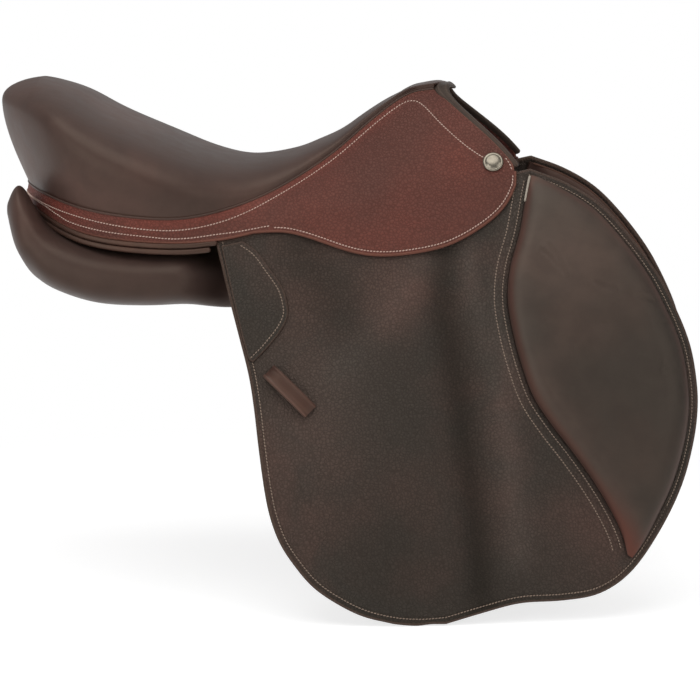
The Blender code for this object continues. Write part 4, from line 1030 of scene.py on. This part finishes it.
def sewnRow(side, name, gap, out, start=0, end=1):
    # a stitch row at a gap inside an edge of a sheet on the flank
    row = insetLine(edgeCurve(name, 400), gap)
    return flankRow(row[int(start * 400):int(end * 400)], out, side)


def patchOf(x, z, centre, stretch, width):
    # a soft patch about a place, a bell of the distance to it, drawn out where its stretch is under 1
    return bell(np.hypot((x - centre[0]) * stretch[0], (z - centre[1]) * stretch[1]), width)


def flapRelief(xz, edge, seam):
    # the soft folds of a flap that has hung on a rack, as bells about their lines, flattened towards its sewn
    # edges, with the warmth that goes with them, and a map of painted light and shade: painted light on the
    # ridges, the slope, beside the knee pad's seam and on the rear middle, painted shade in the valley, the
    # hollow and on a patch low down
    near = {name: distanceTo(xz, curveThrough(line, 60)) for name, line in folds.items()}
    high = bell(near["ridge"], 14) + 0.60 * bell(near["slope"], 19)
    low = bell(near["valley"], 14) + 0.45 * bell(near["hollow"], 22)
    x, z = xz[..., 0], xz[..., 1]
    lobe = np.array(skirt["lobe"])
    below = hingeZ(x) - np.interp(x, lobe[:, 0], lobe[:, 1], 0, 0) - z
    relief = flap["ridgeHeight"] * high * smoothStep(below / 14) - flap["valleyDepth"] * low
    relief = relief * smoothStep((seam - 13) / 16)
    # a patch of painted shade low on the flap
    lowShade = 0.5 * patchOf(x, z, (150, -215), (1, 0.8), 55)
    shade = (0.86 * high - 0.74 * bell(near["valley"], 13) - 0.22 * bell(near["valley"], 34)
             - 0.5 * bell(near["hollow"], 26) - 0.6 * lowShade
             + 0.45 * bell(seam - 9, 9) * smoothStep((z + 90) / 60))
    warmth = (0.75 * patchOf(x, z, (62, -140), (1, 0.7), 52) + 0.7 * patchOf(x, z, (160, 5), (1, 1), 34)
              + 0.6 * patchOf(x, z, (66, -10), (1, 1), 40) + 0.55 * patchOf(x, z, (320, -190), (1, 1), 46))
    shade = shade + 0.55 * patchOf(x, z, (72, -78), (1, 0.8), 46)
    return relief * smoothStep((edge - 4) / 14), shade, 0.8 * np.clip(warmth, 0, 1)


def makeFlapLeather(side, letter):
    # the grid ruled between the flap's edges, its foot bowed, raised by the folds and by the bead
    # beside the front edge, and pressed in by a groove under the edge's stitches
    u, v = crowded(flap["columns"], 0.7), crowded(flap["rows"], 0.6)
    xz = between(("rear", "front"), v, u)
    edge = edgeGap(xz, ("rear", "front"))
    xz[..., 1] -= flap["bow"] * u * (1 - u) * smoothStep((0.8 - u) / 0.4) * v[:, None] ** 18
    frontEdge = distanceTo(xz, curveThrough(flapLines["front"][:12], 240))
    seam = distanceTo(xz, edgeCurve("kneeRear", 240))
    bead = 0.9 * smoothStep(edge / 1.5) * (1 - smoothStep((frontEdge - 6.3) / 1.2))
    groove = -0.45 * bell(edge - flap["stitchGap"], 1.1)
    relief, shade, warmth = flapRelief(xz, edge, seam)
    # painted shade along the knee pad's seam, and darker along the flap's edge
    shade = shade - 0.5 * bell(seam, 4) - 0.35 * bell(edge, 3)
    out = relief + bead + groove - depths["flap"]
    piece = flankSheet("flap" + letter, xz, out, np.minimum(out, -depths["flap"]) - flap["thickness"], side,
                       flapGrain, attributes={"shade": np.clip(shade, -1, 1), "warmth": warmth})
    fit(piece, "flap_body_" + letter, ["flap_" + letter])


knee = dict(rows=171, columns=91, height=12.0, seamReach=15, rimReach=24, back=0.15, foot=1.6,
            wrinkles=(((276, 52), (284, 46), (292, 36)), ((282, 56), (291, 44), (297, 30)),
                      ((322, 24), (331, 20), (341, 18)), ((360, 12), (368, 10), (376, 8)),
                      ((378, -12), (386, -12), (394, -14)), ((388, -46), (397, -50), (404, -48)),
                      ((386, -52), (395, -54), (403, -56))))


def wrinkleRelief(xz, line):
    # a pulled wrinkle: a narrow groove along its line between two low welts
    gap = distanceTo(xz, curveThrough(line, 40))
    return -0.9 * bell(gap, 1.3) + 0.4 * bell(gap - 3.0, 1.4)


def makeKneePad(side, letter):
    # a stuffed pad that rises steeply from its seam and its rim, with wrinkles, rubbed red at its tip
    u, v = crowded(knee["columns"], 0.8), crowded(knee["rows"], 0.4)
    xz = between(("kneeRear", "kneeFront"), v, u)
    seam, rim = distanceTo(xz, edgeCurve("kneeRear", 240)), distanceTo(xz, edgeCurve("kneeFront", 240))
    ends = (1 - np.abs(2 * v - 1) ** 6)[:, None]
    rise = crown(seam, knee["seamReach"], 2.2, 0.6) * crown(rim, knee["rimReach"], 2.0, 0.62)
    wrinkles = sum(wrinkleRelief(xz, line) for line in knee["wrinkles"])
    tip = smoothStep((v - 0.72) / 0.25)[:, None]
    rub = 0.42 * bell(seam - 2.5, 3.0) + 0.25 * bell(rim - 2.5, 3.0) + 0.75 * tip * bell(seam - 6, 9)
    x, z = xz[..., 0], xz[..., 1]
    # painted highlight on the pad's upper part and a little in from its seam, painted shade low in its middle
    # and a little in from its rim
    shade = (0.50 * patchOf(x, z, (300, 50), (0.8, 1), 44) + 0.25 * bell(seam - 12, 8)
             - 0.34 * patchOf(x, z, (352, -80), (0.8, 0.55), 60) - 0.2 * bell(rim - 12, 9))
    out = knee["foot"] - depths["flap"] + knee["height"] * rise * ends + wrinkles
    pad = flankSheet("kneePad" + letter, xz, out, knee["back"] - depths["flap"], side, padCalf, round=0.5,
                     attributes={"rub": np.clip(rub, 0, 1), "shade": shade})
    fit(pad, "flap_body_" + letter, ["knee_pad_" + letter])


def makePatch(side, letter):
    xz = between(("patchRear", "patchFront"), crowded(51, 0.7), crowded(41, 0.7))
    piece = flankSheet("flapPatch" + letter, xz, flap["patch"] - depths["flap"], 0.1 - depths["flap"], side,
                       flapGrain)
    fit(piece, "flap_body_" + letter, ["flap_patch_" + letter])


keeper = dict(x=54.0, z=-68.0, tilt=42, length=50, width=15, thickness=3.2, foot=2.2, rise=4.2)


def makeKeeper(side, letter):
    # a strap carried along a slanted line and lifted between its sewn ends by a fifth power of the way, with
    # two pressed ribs; painted highlights run along the ribs, brightest along its upper edge, and painted
    # shade lies on its sides and underside and at its upper rear end
    half, tilt = keeper["length"] / 2, math.radians(keeper["tilt"])
    s = np.linspace(-half, half, 61)
    spots = np.array((keeper["x"], keeper["z"])) + s[:, None] * np.array((math.cos(tilt), -math.sin(tilt)))
    lift = keeper["foot"] + keeper["rise"] * (1 - np.abs(s / half) ** 5)
    row, up = flankRow(spots, lift - depths["flap"], 1)
    section = roundedSection(keeper["width"], keeper["thickness"], 5.0, 64)
    across = section[:, 0]
    ribs = 0.75 * bell(np.abs(across) - 5.6, 1.0) - 0.35 * bell(np.abs(across) - 3.6, 0.7)
    section[:, 1] += np.where(section[:, 1] > 0.5, ribs, 0)
    # painted highlights along the ribs; painted shade on the sides and underside and at the upper rear end
    lit = bell(across + 5.8, 1.2) + 0.55 * bell(across + 2.6, 0.8) + 0.35 * bell(across - 5.8, 1.1)
    shade = np.repeat((np.where(section[:, 1] > 0.5, 1.2 * lit, -0.5) - 0.25)[None], len(s), 0)
    shade -= 0.5 * smoothStep((-s[:, None] - 15) / 8)
    piece = skin("flapKeeper" + letter, mirrored(carried(row, up, section), side), trimCalf,
                 attributes={"shade": np.clip(shade, -1, 1), "rub": np.full(shade.shape, 0.12)})
    fit(piece, "flap_body_" + letter, ["keeper_" + letter])


def makeSeamTab(side, letter):
    # the folded end that shows at the top of the knee pad's seam, coloured light grey as a painted highlight
    row, up = flankRow(edgeCurve("kneeRear", 400)[3:40], 2.4 - depths["flap"], 1)
    tab = roundedEnds(row, up, roundedSection(2.2, 3.6, 2.4, 20), 1.2)
    fit(skin("seamTab" + letter, mirrored(tab, side), seamTabHighlight), "flap_body_" + letter)


flapRoll = dict(width=34.0, height=6.0, gap=2.6, length=215, piping=2.4, pipingGap=3.0)


def makeFlapRoll(side, letter):
    # the padded roll lined onto the back of the flap along its upper front edge, a crown across that
    # runs out at both ends, piped at its rim
    line = edgeCurve("front", 600)[:flapRoll["length"]]
    step = unit(np.gradient(line, axis=0))
    inward = np.stack([step[:, 1], -step[:, 0]], 1)
    across = crowded(31, 0.8)
    xz = line[:, None] + inward[:, None] * (flapRoll["gap"] + flapRoll["width"] * across)[None, :, None]
    ends = np.minimum(np.linspace(0, 1, len(line)), np.linspace(1, 0, len(line)))
    rise = (1 - np.abs(2 * across[None] - 1) ** 2.4) ** 0.6 * smoothStep(ends / 0.12)[:, None]
    back = -depths["flap"] - flap["thickness"]
    roll = flankSheet("flapRoll" + letter, xz, back - 0.2, back - 1.4 - flapRoll["height"] * rise, side, calf,
                      round=0.6)
    fit(roll, "flap_body_" + letter)
    row, up = flankRow(line + inward * flapRoll["pipingGap"], back - 1.3, 1)
    section = roundedSection(flapRoll["piping"], flapRoll["piping"], 2.0, 12)
    piped = roundedEnds(row[4:-4], up[4:-4], section, 1.2)
    fit(skin("flapRollPiping" + letter, mirrored(piped, side), trimCalf), "flap_body_" + letter)


def makeFlapStitches(side, letter):
    rows = [sewnRow(side, name, gap, lift - depths["flap"], start, end)
            for name, gap, lift, start, end in flapRows]
    stitches("flapStitches" + letter, rows, darkThread, "flap_body_" + letter)


# Under flaps with their blocks

sweat = dict(thickness=3.5, stitchGap=5.0, stitchLift=0.05, kneeHeight=18.0, thighHeight=16.0)


def makeBlock(name, piece, height, side, solid):
    # a stuffed block sewn to the sweat flap: a rounded crown over its outline
    xz = between(piece, crowded(81, 0.8), crowded(41, 0.8))
    out = 1.5 + (height - 1.5) * crown(edgeGap(xz, piece), 11, 2.2, 0.6)
    foot = depths["sweat"] - 0.3
    block = flankSheet(name, xz, out - foot, -foot, side, calf, round=0.6)
    fit(block, "tree_body", [solid])


def makeSweatFlap(side, letter):
    edges = ("sweatRear", "sweatFront")
    xz = between(edges, crowded(111, 0.6), crowded(101, 0.7))
    out = -depths["sweat"] - 0.4 * bell(edgeGap(xz, edges) - sweat["stitchGap"], 1.2)
    piece = flankSheet("sweatFlap" + letter, xz, out, out - sweat["thickness"], side, calf)
    fit(piece, "tree_body", ["sweat_flap_" + letter])
    rows = [sewnRow(side, name, gap, sweat["stitchLift"] - depths["sweat"])
            for name, gap in zip(edges, (sweat["stitchGap"], -sweat["stitchGap"]))]
    stitches("sweatFlapStitches" + letter, rows, darkThread, "tree_body")
    makeBlock("kneeBlock" + letter, ("kneeBlockRear", "kneeBlockFront"), sweat["kneeHeight"], side,
              "knee_block_" + letter)
    makeBlock("thighBlock" + letter, ("thighBlockRear", "thighBlockFront"), sweat["thighHeight"], side,
              "thigh_block_" + letter)


for side, letter in sides:
    for make in (makeFlapLeather, makeKneePad, makePatch, makeKeeper, makeSeamTab, makeFlapRoll,
                 makeFlapStitches, makeSweatFlap):
        make(side, letter)
print("flaps made")


# Billets and buckle guards

billet = dict(x=112.0, pitch=33.0, width=25.0, thickness=3.5, length=280.0, tip=25.0, rise=7.0, run=1.3,
              holePitch=25.0, firstHole=38.0, lastHole=235.0, holeRadius=3.2)
guard = dict(drop=75.0, height=50.0, leather=2.5)


def billetLine(z):
    # the girthing's middle line behind the flank, with its normal
    slope = (flankY(billet["x"], z + 1) - flankY(billet["x"], z - 1)) / 2
    n = unit(np.stack([0 * z, 1 + 0 * z, -slope], -1))
    p = np.stack([billet["x"] + 0 * z, flankY(billet["x"], z), z], -1)
    return p - n * (depths["billet"] + billet["thickness"] / 2), n


def billetLevel():
    # the direction in which the three billets lie side by side
    x, pitch = billet["x"], billet["pitch"]
    return unit(np.array((2 * pitch, flankY(x + pitch, -60) - flankY(x - pitch, -60), 0)))


def makeBillets(side, letter):
    # a flat section carried down the line and narrowed to a tongue; its points are doubled across so
    # that the punched holes, marked by their distance from each centre, keep their shape
    level = billetLevel()
    body = billet["length"] - billet["tip"]
    s = np.concatenate([np.linspace(0, body, 256), np.linspace(body + 1, billet["length"], 26)])
    tip = np.clip((s - body) / billet["tip"], 0, 1)
    scale = np.stack([1 - 0.72 * tip ** 2.2, 1 + 0 * tip], 1)
    section = roundedSection(billet["width"], billet["thickness"], 7.0, 36)
    section = np.stack([section, (section + np.roll(section, -1, 0)) / 2], 1).reshape(-1, 2)
    along = (billet["length"] - s)[:, None]
    half = billet["holePitch"] / 2
    pitched = np.abs(np.mod(along - billet["firstHole"], billet["holePitch"]) - half)
    punched = (along > 30) & (along < billet["lastHole"])
    hole = np.clip(billet["holeRadius"] - np.hypot(pitched, section[None, :, 0]), 0, 1) * punched
    for order, name in enumerate(("Front", "Middle", "Rear")):
        shift = (1 - order) * billet["pitch"]
        row, n = billetLine(hingeZ(billet["x"] + shift) + billet["rise"] - s)
        n = unit(n - level * (n * level).sum(-1, keepdims=True))
        rings = carried(row + level * shift, n, section, scale)
        piece = skin("billet" + name + letter, mirrored(rings, side), strapLeather, attributes={"hole": hole})
        fit(piece, "billets_body_" + letter, ["billet_" + name.lower() + "_" + letter])


def makeGuard(side, letter):
    # a band of leather carried round all three billets, so that it can slide on them
    level = billetLevel()
    centre, n = billetLine(np.array([hingeZ(billet["x"]) - guard["drop"]]))
    centre, n = centre[0], n[0]
    n = unit(n - level * (n * level).sum())
    outline = roundedSection(2 * (billet["pitch"] + billet["width"] / 2 + billet["run"]) + guard["leather"],
                             billet["thickness"] + 2 * billet["run"] + guard["leather"], 9.0, 160)
    loop = centre + outline[:, :1] * level + outline[:, 1:] * n
    section = roundedSection(guard["leather"], guard["height"], 8.0, 36)
    rings = carried(loop, np.cross(level, n), section, joined=True)
    piece = skin("buckleGuard" + letter, mirrored(rings, side), strapLeather, joined=True)
    fit(piece, "guard_body_" + letter, ["buckle_guard_" + letter])


for side, letter in sides:
    makeBillets(side, letter)
    makeGuard(side, letter)
print("girthing made")


# Panels under the tree, the channel's lining and the web

panel = dict(
    rear=((-212, 80, 80, 94, 85, 108, 87, 8), (-206, 68, 68, 94, 80, 121, 85, 27),
          (-199, 60, 52, 96, 72, 130, 80, 33), (-190, 53, 42, 95, 57, 135, 71, 31.5),
          (-172, 42, 35, 90, 40, 141, 45, 27.5), (-132, 36, 30, 90, 28, 144, 28, 27),
          (-88, 35, 28, 90, 24, 145, 24, 25.5), (-45, 35, 30, 89, 25, 142, 25, 24.5)),
    front=((0, 36, 38, 22, 4, 20), (45, 37, 48, 20, -52, 15), (100, 38, 58, 20, -92, 13),
           (165, 40, 68, 22, -110, 12), (225, 46, 76, 24, -92, 11), (262, 56, 80, 26, -40, 9),
           (280, 66, 76, 30, 10, 4)),
    squareness=2.45, rings=170, columns=84,
)
channel = dict(thickness=3.0, gap=1.3, arch=10)
web = dict(thickness=2.0, start=0.24, end=0.42, reach=0.995)


def panelSections():
    # sections from rear to front: x, inner edge, middle and lower edge (y, z), and half the thickness
    x, y0, z0, drop, lower, half = curveThrough(panel["front"], 80).T
    depth = (depths["panel"] + half) * math.hypot(1, sideSlope)
    middleZ = z0 - drop
    front = np.stack([x, y0, z0, flankY(x, middleZ) - depth - 2, middleZ, flankY(x, lower) - depth + 2,
                      lower, half], 1)
    both = np.vstack([curveThrough(panel["rear"], 90), front])
    s = lengthAlong(both[:, [0, 3, 4]])
    share = np.linspace(0, 1, panel["rings"])
    wanted = mixed(share, share ** 1.6, 0.6) * s[-1]
    return softened(np.stack([np.interp(wanted, s, column) for column in both.T], 1), 5)


def hermite(p, q, slopeP, slopeQ, k):
    return ((2 * k ** 3 - 3 * k ** 2 + 1) * p + (k ** 3 - 2 * k ** 2 + k) * slopeP
            + (3 * k ** 2 - 2 * k ** 3) * q + (k ** 3 - k ** 2) * slopeQ)


def makePanels():
    # each section bends along its three centre points and swells to both sides as a superellipse
    table = panelSections()
    g = 2 * math.pi * (np.arange(panel["columns"]) + 0.5) / panel["columns"]
    share = 0.5 - 0.5 * np.cos(g)
    a, m, b = table[:, None, 1:3], table[:, None, 3:5], table[:, None, 5:7]
    f = share[None, :, None]
    first, second = 2 * np.minimum(f, 0.5), 2 * np.maximum(f - 0.5, 0)
    centre = np.where(f < 0.5, hermite(a, m, m - a, (b - a) / 2, first),
                      hermite(m, b, (b - a) / 2, b - m, second))
    run = unit(np.where(f < 0.5, mixed(m - a, (b - a) / 2, first), mixed((b - a) / 2, b - m, second)))
    up = np.stack([-run[..., 1], run[..., 0]], -1)
    fill = (1 - np.abs(2 * share - 1) ** panel["squareness"]) ** (1 / panel["squareness"])
    section = centre + up * (table[:, None, 7:8] * (fill * np.sign(np.sin(g)))[None, :, None])
    rings = np.concatenate([np.broadcast_to(table[:, None, :1], section.shape[:2] + (1,)), section], -1)
    # darker overall, with painted light on the rear end
    shade = -0.34 + 0.25 * bell(rings[..., 0] + 195, 60)
    for side, letter in sides:
        piece = skin("panel" + letter, mirrored(rings, side), calf, attributes={"shade": shade})
        fit(piece, "tree_body", ["panel_" + letter])


def makeLining():
    # the lining of the channel between the panels' inner edges, arched across as a parabola
    edges = np.vstack([np.array(panel["rear"])[2:, :3], np.array(panel["front"])[:-2, :3]])
    line = at(curveThrough(edges, 401, 0.02), np.linspace(0, 1, 90))
    across = np.linspace(-1, 1, 41)[None, :]
    lining = np.stack([line[:, :1] + 0 * across, across * (line[:, 1:2] - channel["gap"]),
                       line[:, 2:] + channel["arch"] * (1 - across ** 2)], -1)
    lift = np.array((0, 0, channel["thickness"] / 2))
    piece = sheet("gulletLining", lining + lift, lining - lift, calf)
    fit(piece, "tree_body", ["gullet_lining"])


def makeWeb():
    # the web that the billets hang from, laid over the tree's arch
    w = np.linspace(-web["reach"], web["reach"], 81)[None, :]
    t = np.linspace(web["start"], web["end"], 31)[:, None]
    arch = bothSides(archAt(t + 0 * w, np.abs(w) + 0 * t), w)
    n = normals(arch, (80, 0, 0))
    piece = sheet("billetWeb", arch - n * depths["web"], arch - n * (depths["web"] + web["thickness"]), linen)
    fit(piece, "tree_body", ["girth_web"])


makePanels()
makeLining()
makeWeb()
print("panels made")

# Solids that keep their own shape get their finish
finishes = {"tree_frame": beech, "head_plate": forged, "flap_tab_L": flapGrain, "flap_tab_R": flapGrain}
for side, letter in sides:
    finishes.update({name + letter: forged for name in ("tree_spring_", "stirrup_bar_", "bar_catch_",
                                                        "catch_pin_", "bar_rivet_front_", "bar_rivet_rear_")})
for name, finish in finishes.items():
    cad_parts[name].material_slots[0].material = finish
print("solids finished")


# Light, floor and camera

stage = dict(floorRadius=8, floorGap=0.0003, paper="#f4f4f4", glow=0.74, skyLevel=0.37,
             lamps=(("overheadSoftbox", 29, 2.4, (0.0, -0.8, 2.1)),          # watts, metres, place
                    ("frontSoftbox", 15.5, 1.9, (-1.3, -2.3, 0.5)),
                    ("rightSoftbox", 10, 1.8, (2.1, -1.6, 0.9)),
                    ("farFill", 2.0, 1.8, (0.2, 2.4, 1.1))),
             lampsAim=(0.1, 0, 0))
view = dict(azimuth=4, elevation=8, distance=2.6, target=(0.0955, 0, -0.0557), lens=140)


def paperMaterial():
    # White sweep paper: seen from the camera it glows to an even white far off and takes a soft
    # shadow near the saddle; what it throws back on the saddle is that of plain matt paper
    material, tree, shader = newMaterial("white_sweep_paper", Roughness=0.9, Specular_IOR_Level=0.1,
                                         Base_Color=linear(stage["paper"]))
    seen = node(tree, "LightPath")
    either = node(tree, "Math", {0: seen.outputs["Is Camera Ray"], 1: seen.outputs["Is Glossy Ray"]},
                  operation="MAXIMUM")
    either = node(tree, "Math", {0: either, 1: seen.outputs["Is Transmission Ray"]}, operation="MAXIMUM")
    glow = node(tree, "Emission", {"Color": (1, 1, 1, 1), "Strength": stage["glow"]})
    paper = node(tree, "BsdfDiffuse", {"Color": (0.5, 0.5, 0.5, 1)})
    near = node(tree, "AddShader", {0: glow, 1: paper})
    plain = node(tree, "Emission", {"Color": (1, 1, 1, 1), "Strength": 1.0})
    spot = node(tree, "TexCoord").outputs["Object"]
    away = node(tree, "VectorMath", {0: spot}, operation="LENGTH").outputs["Value"]
    far = node(tree, "MapRange", {"Value": away, "From Min": 0.42, "From Max": 0.85},
               interpolation_type="SMOOTHSTEP")
    lit = node(tree, "MixShader", {0: far, 1: near, 2: plain})
    mix = node(tree, "MixShader", {0: either, 1: shader, 2: lit})
    connect(tree, tree.nodes["Material Output"], {"Surface": mix})
    return material


def makeFloor():
    g = 2 * math.pi * np.arange(96) / 96
    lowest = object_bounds()[0][2] - stage["floorGap"]
    disc = bpy.data.meshes.new("floor")
    radius = stage["floorRadius"]
    rim = np.stack([radius * np.cos(g), radius * np.sin(g), np.full(len(g), lowest)], 1)
    disc.from_pydata(rim, [], [range(len(g))])
    floor = bpy.data.objects.new("floor", disc)
    bpy.context.scene.collection.objects.link(floor)
    disc.materials.append(paperMaterial())


def makeSky():
    # an even white, dimmer for the light that it throws than for the eye
    world = bpy.data.worlds.new("studio")
    world.use_nodes = True
    tree = world.node_tree
    seen = node(tree, "LightPath")
    either = node(tree, "Math", {0: seen.outputs["Is Camera Ray"], 1: seen.outputs["Is Transmission Ray"]},
                  operation="MAXIMUM")
    level = node(tree, "MapRange", {"Value": either, "To Min": stage["skyLevel"], "To Max": 1.0})
    connect(tree, tree.nodes["Background"], {"Color": (1, 1, 1, 1), "Strength": level})
    bpy.context.scene.world = world


def makeLamps():
    for name, power, size, place in stage["lamps"]:
        lamp = bpy.data.lights.new(name, "AREA")
        lamp.shape, lamp.size, lamp.energy = "DISK", size, power
        holder = bpy.data.objects.new(name, lamp)
        holder.location = place
        run = unit(np.array(stage["lampsAim"]) - np.array(place))
        holder.rotation_euler = (math.acos(-run[2]), 0, math.atan2(run[1], run[0]) - math.pi / 2)
        bpy.context.scene.collection.objects.link(holder)


def makeCamera():
    camera = bpy.data.cameras.new("camera")
    camera.lens, camera.sensor_width = view["lens"], 36
    camera.clip_start, camera.clip_end = 0.1, 60
    a, e = math.radians(view["azimuth"]), math.radians(view["elevation"])
    back = np.array((math.sin(a) * math.cos(e), -math.cos(a) * math.cos(e), math.sin(e)))
    holder = bpy.data.objects.new("camera", camera)
    holder.location = np.array(view["target"]) + back * view["distance"]
    holder.rotation_euler = (math.pi / 2 - e, 0, a)
    bpy.context.scene.collection.objects.link(holder)
    bpy.context.scene.camera = holder


makeFloor()
makeSky()
makeLamps()
makeCamera()
bpy.context.scene.view_settings.view_transform = "Standard"
print("stage, lights and camera made")
